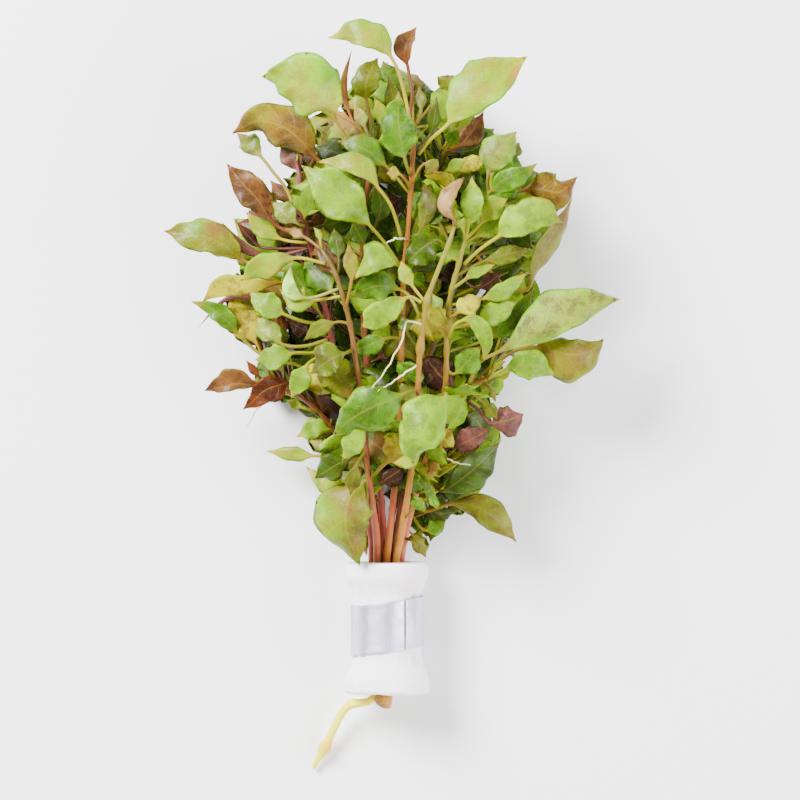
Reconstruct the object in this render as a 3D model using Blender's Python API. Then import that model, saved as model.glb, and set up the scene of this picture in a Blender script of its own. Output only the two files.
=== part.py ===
"""Bunch of alternanthera cuttings held in a foam sleeve with a metal strip round it.

The bunch lies on its side: the stems run along +Y from the sleeve and the leaf tops
point to +Y. All working lengths are in millimetres; meshes are made in metres.
"""
import math
import random

import bpy
import bmesh
from mathutils import Vector
from mathutils.bvhtree import BVHTree

# Driving dimensions
MM = 0.001
PIXEL = 0.3            # millimetres to one picture element at the middle height
EYE = 1235.0           # height of the eye above the surface
EYE_DISTANCE = 1200.0  # eye to the middle height, where PIXEL holds
EYE_PX = (400.0, 400.0)
EYE_XY = (3.6, 49.5)   # where the line of sight meets the surface

SLEEVE_LENGTH = 40.0
SLEEVE_RADIUS = 13.2
SLEEVE_WAIST = 10.6
SLEEVE_BORE = 6.5
SLEEVE_AXIS = (-0.45, 12.4)   # x and height of the sleeve's axis
SLEEVE_EDGE = 1.4

STRIP_WIDTH = 15.2
STRIP_CENTRE = -19.4
STRIP_THICKNESS = 0.5
STRIP_INNER = 10.95
STRIP_LAP = 40.0       # degrees that the end lies over the start
STRIP_STEP = 0.85      # how far the lapped end stands off
STRIP_SKEW = 1.5
STRIP_START = 20.0

STEM_FOOT = 1.3        # stem radius in the sleeve
STEM_TOP = 0.75        # stem radius at the growing tip
STEM_PITCH = 3.0       # spacing of the stems in the sleeve
GAP = 0.3              # clearance between pieces that touch

LEAF_MID = 0.75        # thickness along the midrib
PETIOLE_HALF = 0.65
PETIOLE_DEPTH = 1.1
LEAF_FOOT = 1.25       # outline exponent from the petiole to the widest place
LEAF_TIP = 1.15        # outline exponent from the widest place to the tip
LEAF_CLEAR = 0.35      # half of the free space kept round each leaf
LIFT_STEP = 1.1
LIFT_STEPS = 26

COLOURS = {
    "bright": (0.50, 0.66, 0.04), "lime": (0.55, 0.60, 0.10), "green": (0.22, 0.42, 0.03),
    "deep": (0.08, 0.17, 0.03), "yellow": (0.68, 0.62, 0.05), "khaki": (0.50, 0.42, 0.07),
    "olive": (0.28, 0.27, 0.06), "sage": (0.50, 0.56, 0.30), "mint": (0.60, 0.76, 0.45),
    "amber": (0.42, 0.24, 0.05), "russet": (0.45, 0.19, 0.10), "red": (0.34, 0.07, 0.03),
    "pink": (0.80, 0.55, 0.42), "purple": (0.36, 0.17, 0.15), "plum": (0.12, 0.03, 0.04),
}
STEM_COLOUR = (0.72, 0.40, 0.18)
FOAM_COLOUR = (0.93, 0.92, 0.92)
STRIP_COLOUR = (0.80, 0.79, 0.84)

# Slot in the sleeve (steps across, steps up), then the run above the sleeve and the run
# below it as (picture x, picture y, height in millimetres).
STEMS = {
    "stem_front": ((1.0, 1.0), [
        (402, 530, 20), (410, 480, 31), (416, 430, 41), (418, 390, 47), (420, 350, 50),
        (424, 322, 52), (427, 300, 53), (439, 268, 54), (449, 243, 54), (455, 225, 53)], []),
    "stem_right_tall": ((1.5, 0.0), [
        (406, 530, 14.5), (420, 480, 21), (436, 430, 30), (445, 391, 37), (447, 330, 43),
        (451, 293, 45), (459, 263, 46), (466, 237, 46)], []),
    "stem_crown": ((0.0, 1.0), [
        (390, 530, 19), (396, 470, 25), (400, 400, 30), (402, 330, 34), (404, 270, 38),
        (408, 230, 42), (411, 190, 45), (413, 150, 45), (414, 120, 43)],
        [(386, 696, 15.2), (383, 701, 15.4), (380, 706, 15.4)]),
    "stem_upper_left": ((-0.5, 0.0), [
        (383, 530, 13.5), (378, 470, 17), (370, 400, 23), (364, 330, 28), (362, 270, 32),
        (364, 215, 35), (371, 170, 37), (377, 144, 37)], []),
    "stem_left": ((-1.5, 0.0), [
        (371, 530, 14), (360, 470, 20), (345, 400, 27), (330, 330, 32), (317, 270, 35),
        (306, 230, 36), (299, 203, 36), (300, 180, 35), (296, 160, 34)], []),
    "stem_centre_left": ((-1.0, 1.0), [
        (376, 530, 20), (369, 480, 30), (361, 400, 41), (352, 335, 46), (344, 300, 47),
        (334, 270, 46), (320, 247, 44)], []),
    "stem_low_left": ((-1.0, -1.0), [
        (372, 530, 9.6), (361, 490, 10.5), (347, 450, 13.5), (325, 418, 18), (303, 398, 21),
        (285, 389, 22), (270, 388, 22)],
        [(376, 694, 9.8), (369, 701, 9.4), (360, 703, 8.8), (351, 704, 8.0), (344, 710, 7.0),
         (337, 722, 5.4), (326, 745, 3.3), (313, 768, 1.6)]),
    "stem_right": ((1.0, -1.0), [
        (402, 530, 9.8), (418, 490, 13), (438, 448, 18), (455, 411, 24), (471, 388, 30),
        (492, 375, 34)], []),
    "stem_low_centre": ((0.0, -1.0), [
        (390, 530, 8.8), (396, 480, 8), (404, 400, 10), (412, 320, 13), (424, 240, 18),
        (436, 185, 25), (442, 148, 30)], []),
    "stem_upper_right": ((0.5, 0.0), [
        (397, 530, 13), (405, 480, 15.5), (418, 400, 21), (438, 330, 27), (462, 270, 32),
        (482, 225, 34), (493, 192, 36)], []),
}
# Thickened places on a stem: (stem, picture x, picture y, extra radius)
NODES = [
    ("stem_front", 427, 300, 0.5), ("stem_front", 420, 346, 0.6),
    ("stem_low_left", 324, 748, 0.75), ("stem_low_left", 352, 704, 0.3),
    ("stem_crown", 380, 707, 1.7), ("stem_crown", 383, 703, 0.4),
    ("stem_right", 455, 411, 0.3), ("stem_left", 299, 203, 0.3),
]

# Each leaf: stem, picture point on the stem, place of the blade's first point in the
# list, midrib points in the picture, heights (blade foot, blade middle, tip), projected
# half widths in picture elements (left and right of the way from foot to tip), rise of
# the two margins over the midrib, widest place along the blade, colour.
LEAVES = {
    # lowest layer, on the surface
    "leaf_floor_a": ("stem_low_left", (325, 418), 1, [(330, 392), (322, 370), (306, 330), (296, 296)],
                     (5, 1, 1), (20, 20), (-1, -1), 0.42, "deep"),
    "leaf_floor_b": ("stem_low_centre", (400, 440), 1, [(386, 400), (374, 372), (352, 330), (338, 290)],
                     (4, 1, 1), (20, 19), (-1, -1), 0.42, "green"),
    "leaf_floor_c": ("stem_low_centre", (408, 350), 1, [(424, 330), (440, 312), (462, 282), (484, 250)],
                     (5, 1, 1), (20, 20), (-1, -1), 0.42, "deep"),
    "leaf_floor_d": ("stem_low_centre", (418, 280), 1, [(404, 262), (392, 240), (372, 200), (360, 160)],
                     (6, 1, 1), (19, 20), (-1, -1), 0.42, "green"),
    # left side
    "leaf_lower_left": ("stem_centre_left", (372, 500), 0, [(363, 490), (350, 508), (347, 531), (360, 567)],
                        (31, 33, 27), (18, 30), (-2, -6), 0.42, "khaki"),
    "leaf_tan_right": ("stem_right", (412, 503), 1,
                       [(428, 511), (445, 505), (465, 504), (485, 511), (502, 525), (517, 543)],
                       (19, 23, 17), (15, 13), (-1, -2), 0.5, "khaki"),
    "leaf_gloss_right": ("stem_right", (428, 470), 0, [(440, 491), (460, 480), (480, 463), (500, 442)],
                         (25, 30, 28), (14, 20), (2, -3), 0.5, "green"),
    "leaf_brown_left": ("stem_low_left", (272, 388), 0,
                        [(262, 387), (250, 385), (236, 384), (222, 387), (204, 391)],
                        (25, 27, 22), (6, 14), (0, 2), 0.5, "russet"),
    "leaf_red_left": ("stem_low_left", (302, 397), 0,
                      [(290, 384), (276, 386), (264, 391), (252, 402), (242, 410)],
                      (26, 28, 24), (14, 11), (0, 1), 0.3, "red"),
    "leaf_green_left": ("stem_left", (342, 388), 3,
                        [(300, 366), (274, 361), (256, 351), (240, 336), (227, 321), (212, 309), (190, 301)],
                        (24, 25, 22), (9, 10), (0, 1), 0.4, "green"),
    "leaf_yellow_left": ("stem_left", (322, 292), 1,
                         [(302, 287), (284, 283), (262, 286), (240, 287), (220, 290), (202, 302)],
                         (33, 34, 28), (8, 13), (-1, 1), 0.6, "yellow"),
    "leaf_far_left": ("stem_left", (317, 272), 1,
                      [(282, 270), (246, 262), (226, 247), (206, 237), (187, 235), (163, 231)],
                      (33, 37, 33), (15, 18), (-1, 1), 0.5, "khaki"),
    "leaf_pale_left": ("stem_left", (301, 210), 2,
                       [(287, 190), (273, 172), (263, 159), (251, 146), (237, 133)],
                       (33, 32, 28), (9, 11), (0, 0), 0.5, "sage"),
    "leaf_russet_left": ("stem_left", (307, 236), 1,
                         [(289, 232), (272, 222), (258, 200), (242, 183), (226, 163)],
                         (36, 40, 38), (14, 17), (1, 1), 0.42, "russet"),
    "leaf_amber_left": ("stem_upper_left", (367, 192), 1,
                        [(342, 177), (318, 160), (303, 143), (283, 127), (258, 121), (231, 134)],
                        (37, 40, 34), (20, 22), (-3, -1), 0.42, "amber"),
    "leaf_veined_left": ("stem_left", (331, 336), 1, [(306, 346), (284, 345), (270, 332), (256, 317)],
                         (34, 35, 31), (11, 11), (0, 0), 0.5, "sage"),
    "leaf_green_round": ("stem_left", (328, 322), 1, [(306, 322), (286, 315), (267, 305), (249, 292)],
                         (37, 39, 36), (12, 13), (0, 0), 0.45, "bright"),
    "leaf_bright_left": ("stem_left", (336, 350), 1, [(313, 353), (295, 353), (276, 357), (255, 360)],
                         (37, 39, 35), (12, 12), (0, 0), 0.5, "bright"),
    "leaf_olive_round": ("stem_centre_left", (330, 262), 0, [(300, 258), (280, 261), (262, 267), (240, 281)],
                         (41, 43, 39), (12, 12), (0, 0), 0.55, "lime"),
    "leaf_hook_left": ("stem_left", (338, 360), 1, [(323, 357), (308, 364), (299, 380), (291, 399)],
                       (40, 42, 38), (11, 9), (0, 0), 0.4, "bright"),
    "leaf_olive_broad": ("stem_centre_left", (355, 352), 0, [(346, 353), (331, 359), (311, 374)],
                         (49, 51, 46), (14, 17), (0, 0), 0.4, "olive"),
    # upper part
    "leaf_big_upper_left": ("stem_upper_left", (376, 150), 1,
                            [(358, 127), (338, 113), (318, 99), (297, 86), (261, 76)],
                            (43, 48, 42), (23, 37), (-3, 1), 0.38, "lime"),
    "leaf_olive_top": ("stem_upper_left", (377, 146), 1, [(371, 122), (367, 102), (366, 82), (378, 57)],
                       (38, 41, 38), (14, 13), (0, 0), 0.45, "olive"),
    "leaf_top": ("stem_crown", (414, 124), 1, [(403, 88), (393, 60), (374, 42), (352, 36), (327, 38)],
                 (45, 48, 42), (8, 19), (0, -2), 0.42, "lime"),
    "leaf_top_russet": ("stem_crown", (414, 122), 1, [(412, 95), (408, 68), (405, 48), (417, 26)],
                        (46, 48, 44), (11, 6), (0, 2), 0.45, "russet"),
    "leaf_spear": ("stem_crown", (412, 172), 0, [(405, 160), (401, 140), (398, 118), (399, 91)],
                   (50, 53, 50), (19, 16), (-1, -1), 0.33, "bright"),
    "leaf_long_petiole": ("stem_crown", (407, 240), 2,
                          [(398, 226), (391, 206), (380, 190), (365, 174), (345, 165), (316, 162)],
                          (50, 52, 47), (6, 16), (0, -1), 0.42, "lime"),
    "leaf_centre_left": ("stem_crown", (403, 262), 1,
                         [(384, 242), (371, 227), (352, 206), (335, 190), (318, 177), (301, 165)],
                         (48, 54, 50), (23, 19), (-1, 1), 0.45, "bright"),
    "leaf_upper_right": ("stem_crown", (413, 154), 1,
                         [(430, 140), (446, 126), (468, 103), (495, 82), (528, 56)],
                         (44, 48, 44), (32, 17), (-2, 0), 0.45, "lime"),
    "leaf_round_right": ("stem_upper_right", (492, 194), 0, [(488, 177), (494, 158), (503, 145), (517, 131)],
                         (41, 44, 42), (17, 17), (-1, -1), 0.5, "sage"),
    "leaf_green_right": ("stem_upper_right", (489, 207), 0, [(489, 194), (503, 180), (520, 173), (538, 163)],
                         (42, 45, 42), (8, 14), (0, 0), 0.4, "green"),
    "leaf_amber_right": ("stem_upper_right", (491, 200), 1,
                         [(507, 196), (521, 191), (540, 189), (560, 192), (578, 176)],
                         (38, 41, 38), (17, 17), (-1, -3), 0.42, "amber"),
    "leaf_edge_right": ("stem_upper_right", (470, 253), 1,
                        [(504, 285), (527, 290), (536, 266), (549, 240), (564, 216), (573, 196)],
                        (33, 35, 34), (8, 9), (2, -5), 0.5, "purple"),
    "leaf_broad_right": ("stem_right_tall", (460, 262), 1,
                         [(478, 251), (496, 238), (517, 225), (540, 216), (563, 223)],
                         (49, 53, 47), (22, 13), (-1, -1), 0.45, "bright"),
    "leaf_upright_right": ("stem_right_tall", (465, 240), 0, [(468, 227), (472, 205), (472, 176)],
                           (50, 54, 52), (11, 11), (0, 1), 0.45, "bright"),
    "leaf_pink_fold": ("stem_front", (455, 228), 0, [(457, 217), (447, 204), (457, 178)],
                       (56, 58, 55), (13, 9), (-2, 0), 0.4, "pink"),
    # middle
    "leaf_yellow_centre": ("stem_crown", (404, 272), 0, [(397, 265), (384, 261), (370, 266), (354, 280)],
                           (50, 55, 51), (8, 21), (-1, -3), 0.4, "bright"),
    "leaf_green_centre": ("stem_front", (424, 320), 1, [(412, 300), (401, 290), (376, 286), (351, 297)],
                          (47, 49, 46), (15, 15), (0, 0), 0.45, "green"),
    "leaf_spoon_centre": ("stem_front", (427, 302), 0, [(410, 297), (397, 303), (381, 313), (361, 328)],
                          (53, 56, 51), (14, 12), (0, 0), 0.6, "bright"),
    "leaf_curl_right": ("stem_right_tall", (447, 340), 0,
                        [(456, 324), (471, 320), (483, 331), (486, 346), (483, 362)],
                        (49, 53, 47), (8, 8), (0, -1), 0.5, "bright"),
    "leaf_veined_right": ("stem_right", (474, 386), 0,
                          [(480, 362), (505, 349), (530, 336), (552, 324), (576, 312), (598, 303),
                           (621, 299)],
                          (36, 43, 38), (29, 14), (-2, -1), (0.6, 2.4, 1.1), "sage"),
    "leaf_veined_brown": ("stem_right", (484, 378), 1,
                          [(506, 356), (530, 347), (552, 351), (575, 354), (592, 350), (604, 338)],
                          (34, 37, 33), (15, 28), (-1, -3), 0.5, "khaki"),
    "leaf_bright_right": ("stem_right", (490, 376), 0, [(502, 371), (518, 366), (536, 366), (556, 376)],
                          (38, 41, 36), (15, 13), (0, -1), 0.5, "bright"),
    "leaf_purple_right": ("stem_right", (464, 398), 1,
                          [(479, 410), (489, 423), (500, 422), (512, 419), (524, 414)],
                          (29, 30, 28), (15, 16), (-1, -1), 0.5, "purple"),
    "leaf_front_big": ("stem_right_tall", (446, 388), 0,
                       [(446, 396), (436, 408), (424, 428), (416, 446), (413, 465)],
                       (50, 57, 49), (20, 27), (-2, -2), 0.42, "bright"),
    "leaf_gloss_front": ("stem_front", (418, 392), 0,
                         [(406, 393), (390, 400), (370, 408), (350, 420), (333, 435)],
                         (52, 55, 48), (26, 20), (-3, -1), 0.45, "green"),
}
# Small leaves, one body with the stem that they grow from.
SMALL_LEAVES = {
    "stem_crown": [
        ((414, 126), 0, [(421, 112), (419, 86)], (42, 41, 40), (6, 6), "olive"),
        ((413, 150), 0, [(428, 138), (434, 120), (437, 95)], (41, 42, 41), (7, 6), "deep"),
        ((411, 186), 0, [(424, 164), (438, 174)], (52, 54, 51), (9, 9), "khaki"),
        ((411, 190), 0, [(401, 175), (386, 173)], (52, 53, 50), (7, 7), "khaki"),
        ((405, 262), 0, [(420, 232), (427, 205), (423, 180)], (43, 44, 42), (9, 10), "olive"),
        ((411, 196), 0, [(388, 168), (362, 148), (337, 141)], (44, 46, 44), (12, 14), "green"),
        ((407, 238), 0, [(398, 238), (386, 243)], (48, 51, 51), (1, 1), "root"),
        ((402, 340), 0, [(388, 338), (374, 343), (348, 353)], (42, 43, 41), (10, 9), "green"),
        ((402, 330), 0, [(412, 306), (416, 284)], (30, 26, 24), (10, 10), "plum"),
        ((413, 154), 0, [(400, 152), (388, 152), (370, 162)], (36, 32, 28), (12, 12), "deep"),
    ],
    "stem_front": [
        ((426, 304), 0, [(414, 288), (405, 274), (401, 260)], (53, 53, 51), (7, 8), "lime"),
        ((417, 420), 0, [(420, 450), (408, 461), (392, 463)], (44, 45, 43), (7, 8), "lime"),
        ((420, 348), 0, [(408, 334), (402, 314)], (46, 44, 42), (7, 7), "deep"),
        ((449, 243), 0, [(440, 224), (431, 214)], (46, 45, 43), (8, 8), "deep"),
        ((447, 248), 0, [(438, 240), (424, 247), (405, 264)], (48, 48, 45), (17, 16), "deep"),
        ((422, 326), 0, [(407, 321), (403, 338), (393, 358), (381, 376), (371, 389)],
         (54, 57, 56), (1, 1), "root"),
        ((419, 364), 0, [(406, 373), (391, 383), (378, 391)], (50, 53, 56), (1, 1), "root"),
    ],
    "stem_right_tall": [
        ((466, 239), 0, [(480, 224), (492, 208), (508, 198)], (48, 50, 48), (12, 12), "lime"),
        ((456, 276), 0, [(482, 262), (508, 254), (531, 249)], (46, 46, 44), (8, 10), "olive"),
        ((453, 288), 0, [(462, 282), (476, 271), (499, 262)], (46, 46, 44), (6, 7), "bright"),
        ((449, 305), 0, [(478, 300), (504, 290), (529, 271)], (43, 43, 41), (8, 9), "bright"),
        ((448, 318), 0, [(456, 314), (466, 306), (483, 297)], (48, 49, 47), (10, 11), "yellow"),
        ((447, 326), 0, [(442, 312), (432, 293)], (48, 48, 46), (6, 6), "bright"),
        ((447, 332), 0, [(474, 322), (492, 314), (518, 301)], (42, 43, 41), (10, 12), "bright"),
        ((446, 350), 0, [(484, 340), (512, 322), (535, 286)], (36, 37, 35), (10, 9), "green"),
        ((446, 372), 0, [(454, 374), (467, 362), (481, 346)], (40, 41, 40), (12, 13), "green"),
        ((414, 500), 0, [(414, 494), (412, 484), (410, 466)], (27, 33, 34), (13, 12), "green"),
        ((403, 540), 0, [(412, 541), (421, 554)], (17, 16, 13), (5, 5), "olive"),
        ((431, 444), 0, [(440, 455), (452, 461), (471, 466)], (34, 36, 36), (1, 1), "root"),
    ],
    "stem_upper_left": [
        ((376, 148), 0, [(384, 132), (383, 116), (374, 97)], (37, 38, 38), (8, 8), "lime"),
        ((377, 146), 0, [(390, 124), (393, 100), (388, 74)], (34, 36, 36), (8, 7), "olive"),
        ((375, 152), 0, [(366, 130), (354, 103)], (33, 32, 31), (6, 7), "mint"),
        ((370, 175), 0, [(340, 128), (318, 92), (289, 56)], (31, 33, 35), (9, 9), "lime"),
        ((374, 160), 0, [(353, 122), (344, 86), (352, 49)], (30, 33, 36), (5, 4), "russet"),
        ((362, 262), 0, [(364, 246), (352, 221)], (38, 39, 38), (10, 9), "deep"),
        ((363, 240), 0, [(376, 224), (381, 204), (374, 182)], (38, 40, 39), (10, 10), "deep"),
        ((364, 330), 0, [(382, 320), (396, 312)], (26, 24, 22), (9, 9), "plum"),
        ((370, 400), 0, [(384, 378), (390, 352)], (20, 17, 14), (10, 10), "deep"),
        ((371, 172), 0, [(352, 160), (334, 152), (312, 148)], (28, 25, 23), (14, 14), "deep"),
    ],
    "stem_left": [
        ((299, 200), 0, [(300, 174), (292, 156), (281, 137)], (33, 33, 31), (12, 11), "purple"),
        ((310, 244), 0, [(284, 240), (263, 229), (245, 211)], (32, 33, 32), (9, 9), "lime"),
        ((312, 250), 0, [(272, 256), (244, 247), (221, 221)], (30, 32, 33), (6, 5), "purple"),
        ((311, 247), 0, [(264, 248), (248, 236), (235, 220)], (28, 30, 31), (5, 7), "plum"),
        ((305, 226), 0, [(298, 224), (285, 214), (271, 201)], (40, 41, 39), (9, 12), "sage"),
        ((325, 312), 0, [(288, 306), (250, 297), (224, 300), (197, 329)], (26, 24, 21), (4, 3), "purple"),
        ((320, 285), 0, [(302, 262), (288, 238)], (28, 26, 25), (12, 12), "plum"),
        ((334, 342), 0, [(310, 332), (288, 322)], (27, 25, 24), (9, 9), "plum"),
        ((307, 232), 0, [(322, 226), (338, 222), (354, 214)], (27, 23, 20), (14, 14), "deep"),
        ((362, 478), 0, [(352, 484), (330, 486), (305, 466)], (22, 24, 21), (9, 9), "lime"),
    ],
    "stem_centre_left": [
        ((322, 250), 0, [(306, 238), (284, 228)], (42, 42, 41), (5, 6), "pink"),
        ((336, 276), 0, [(339, 260), (334, 227)], (44, 44, 43), (9, 9), "deep"),
        ((346, 306), 0, [(351, 284), (352, 266), (348, 242)], (50, 51, 49), (8, 8), "khaki"),
        ((343, 298), 0, [(318, 300), (300, 300), (279, 289)], (42, 43, 40), (12, 12), "lime"),
        ((340, 288), 0, [(310, 298), (290, 290), (291, 263)], (44, 45, 44), (7, 7), "mint"),
        ((350, 326), 0, [(338, 322), (320, 328), (303, 341)], (43, 43, 40), (8, 8), "olive"),
        ((362, 415), 0, [(365, 426), (357, 440), (342, 461)], (48, 49, 44), (9, 13), "bright"),
        ((366, 450), 0, [(358, 462), (354, 476), (350, 496)], (38, 38, 34), (8, 8), "olive"),
        ((365, 440), 0, [(350, 458), (336, 465), (314, 479)], (34, 34, 30), (13, 14), "deep"),
    ],
    "stem_low_left": [
        ((272, 388), 0, [(260, 378), (246, 360)], (25, 26, 25), (5, 5), "red"),
        ((338, 436), 0, [(331, 430), (316, 429), (296, 437)], (20, 22, 19), (9, 11), "bright"),
        ((318, 412), 0, [(304, 408), (286, 400)], (23, 23, 21), (6, 6), "lime"),
        ((348, 454), 0, [(318, 456), (288, 453), (265, 451)], (14, 13, 11), (8, 7), "lime"),
        ((306, 400), 0, [(284, 372), (268, 340)], (12, 8, 7), (15, 15), "deep"),
        ((334, 430), 0, [(318, 418), (308, 404), (302, 378)], (7, 4, 3), (12, 12), "deep"),
        ((287, 389), 0, [(272, 399), (258, 408), (252, 418), (246, 429)], (18, 15, 12), (1, 1), "root"),
        ((355, 472), 0, [(338, 470), (322, 462)], (6, 3, 2), (11, 11), "deep"),
    ],
    "stem_right": [
        ((470, 390), 0, [(482, 402), (498, 420)], (32, 33, 31), (8, 7), "olive"),
        ((482, 382), 0, [(490, 388), (496, 402)], (33, 33, 32), (4, 4), "olive"),
        ((438, 449), 0, [(452, 447), (470, 440), (490, 428)], (25, 29, 30), (14, 12), "purple"),
        ((420, 486), 0, [(436, 512), (456, 511)], (16, 16, 14), (6, 6), "deep"),
        ((410, 512), 0, [(424, 530), (446, 521)], (12, 12, 10), (8, 8), "green"),
        ((434, 456), 0, [(450, 474), (470, 478)], (8, 4, 3), (12, 12), "deep"),
        ((446, 430), 0, [(466, 384), (488, 350), (514, 320)], (6, 2, 1), (16, 16), "deep"),
        ((438, 448), 0, [(448, 462), (454, 482), (450, 506)], (10, 8, 6), (14, 14), "deep"),
        ((453, 415), 0, [(466, 414), (478, 422), (488, 442)], (16, 12, 10), (13, 13), "deep"),
        ((416, 494), 0, [(426, 506), (434, 520), (430, 542)], (7, 5, 4), (12, 12), "deep"),
    ],
    "stem_low_centre": [
        ((442, 152), 0, [(456, 148), (470, 134), (484, 111)], (35, 37, 37), (9, 12), "russet"),
        ((441, 158), 0, [(448, 148), (459, 126)], (32, 34, 34), (7, 7), "green"),
        ((437, 180), 0, [(456, 172), (471, 164), (490, 157)], (33, 36, 37), (8, 9), "yellow"),
        ((437, 182), 0, [(446, 172), (468, 158)], (38, 40, 41), (7, 6), "bright"),
        ((430, 212), 0, [(446, 204), (462, 188)], (16, 13, 12), (13, 13), "deep"),
        ((434, 194), 0, [(420, 176), (408, 140)], (16, 12, 10), (14, 14), "deep"),
        ((426, 232), 0, [(404, 214), (388, 182)], (20, 22, 24), (12, 12), "deep"),
        ((410, 336), 0, [(392, 320), (378, 300)], (16, 16, 17), (12, 12), "plum"),
        ((442, 152), 0, [(456, 152), (472, 150), (488, 140)], (25, 23, 21), (14, 14), "deep"),
        ((441, 154), 0, [(435, 138), (430, 120), (428, 98)], (24, 22, 20), (12, 12), "deep"),
    ],
    "stem_upper_right": [
        ((460, 275), 0, [(478, 288), (502, 273)], (34, 34, 33), (9, 9), "plum"),
        ((478, 234), 0, [(492, 240), (512, 236)], (26, 22, 20), (12, 12), "deep"),
        ((484, 218), 0, [(470, 196), (462, 170)], (28, 28, 28), (12, 12), "deep"),
        ((446, 312), 0, [(470, 318), (492, 312)], (22, 20, 19), (12, 12), "deep"),
        ((418, 400), 0, [(426, 378), (434, 352)], (22, 23, 22), (10, 10), "plum"),
        ((438, 332), 0, [(428, 352), (432, 372)], (24, 24, 22), (8, 8), "green"),
        ((437, 334), 0, [(447, 344), (456, 356), (462, 378)], (19, 15, 12), (14, 14), "deep"),
        ((464, 266), 0, [(482, 268), (502, 268), (526, 260)], (23, 19, 17), (15, 15), "deep"),
        ((483, 222), 0, [(500, 228), (514, 232), (534, 250)], (27, 24, 22), (11, 11), "deep"),
    ],
}


# Leaves that fill the inside of the bunch: pairs on opposite sides of a stem, each pair
# a quarter turn from the last, kept inside this outline of the foliage in the picture.
FOLIAGE = [
    (300, 172), (320, 150), (345, 122), (366, 112), (384, 96), (398, 74), (410, 96), (438, 112),
    (470, 120), (484, 168), (500, 208), (540, 216), (530, 250), (524, 290), (505, 338),
    (478, 392), (468, 430), (488, 452), (470, 490), (430, 518), (416, 545), (372, 548),
    (334, 530), (326, 500), (322, 470), (332, 440), (300, 420), (288, 392), (262, 392),
    (258, 352), (252, 300), (244, 272), (252, 246), (274, 216), (300, 204),
]
FILL_SEED = 11
FILL_SPACING = 7.6
FILL_LENGTH = (14.0, 25.0)
FILL_WIDTH = 0.27
FILL_TOP = 36.0
FILL_LIMIT = 90


def spot(px, py, height):
    """Place in millimetres of a picture point that lies at the given height."""
    scale = PIXEL * (EYE - height) / EYE_DISTANCE
    return Vector(((px - EYE_PX[0]) * scale + EYE_XY[0],
                   (EYE_PX[1] - py) * scale + EYE_XY[1], height))


def smooth_run(points, per_span=8):
    """Points along a smooth curve through the given points."""
    ends = [points[0] * 2 - points[1]] + list(points) + [points[-1] * 2 - points[-2]]
    run = []
    for i in range(1, len(ends) - 2):
        a, b, c, d = ends[i - 1:i + 3]
        for k in range(per_span):
            t = k / per_span
            run.append(0.5 * (2 * b + (c - a) * t + (2 * a - 5 * b + 4 * c - d) * t * t
                              + (3 * b - a - 3 * c + d) * t * t * t))
    run.append(points[-1].copy())
    return run


def lengths(run):
    total = [0.0]
    for a, b in zip(run, run[1:]):
        total.append(total[-1] + (b - a).length)
    return total


def read_at(run, total, s):
    s = min(max(s, 0.0), total[-1])
    for i in range(1, len(run)):
        if total[i] >= s:
            part = (s - total[i - 1]) / max(total[i] - total[i - 1], 1e-9)
            return run[i - 1].lerp(run[i], part)
    return run[-1].copy()


def stem_line(name):
    """Centre line of a stem from its lower end to its growing tip."""
    (across, up), above, below = STEMS[name]
    x = SLEEVE_AXIS[0] + across * STEM_PITCH
    z = SLEEVE_AXIS[1] + up * STEM_PITCH * 0.88
    inside = [Vector((x, y, z)) for y in (-SLEEVE_LENGTH + 2.0, -SLEEVE_LENGTH / 2, -2.0, 1.5)]
    lower = [spot(*p) for p in reversed(below)]
    return lower + inside + [spot(*p) for p in above]


def stem_radius(name, point, share):
    radius = STEM_FOOT + (STEM_TOP - STEM_FOOT) * share
    for stem, px, py, extra in NODES:
        if stem == name:
            at = spot(px, py, point.z)
            away = (Vector((at.x, at.y)) - Vector((point.x, point.y))).length
            radius += extra * math.exp(-(away / 2.2) ** 2)
    return radius


def nearest_on(run, px, py):
    """Index on a run of the point that shows nearest to a picture point."""
    best, found = None, 0
    for i, p in enumerate(run):
        at = spot(px, py, p.z)
        away = (at.x - p.x) ** 2 + (at.y - p.y) ** 2
        if best is None or away < best:
            best, found = away, i
    return found


def blade_outline(t, belly):
    """Half width of the blade along its length, 1 at the widest place."""
    widest, foot, tip = belly if isinstance(belly, tuple) else (belly, LEAF_FOOT, LEAF_TIP)
    if t <= 0.0 or t >= 1.0:
        return 0.0
    if t < widest:
        return math.sin(math.pi / 2 * t / widest) ** foot
    return math.cos(math.pi / 2 * (t - widest) / (1 - widest)) ** tip


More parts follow.
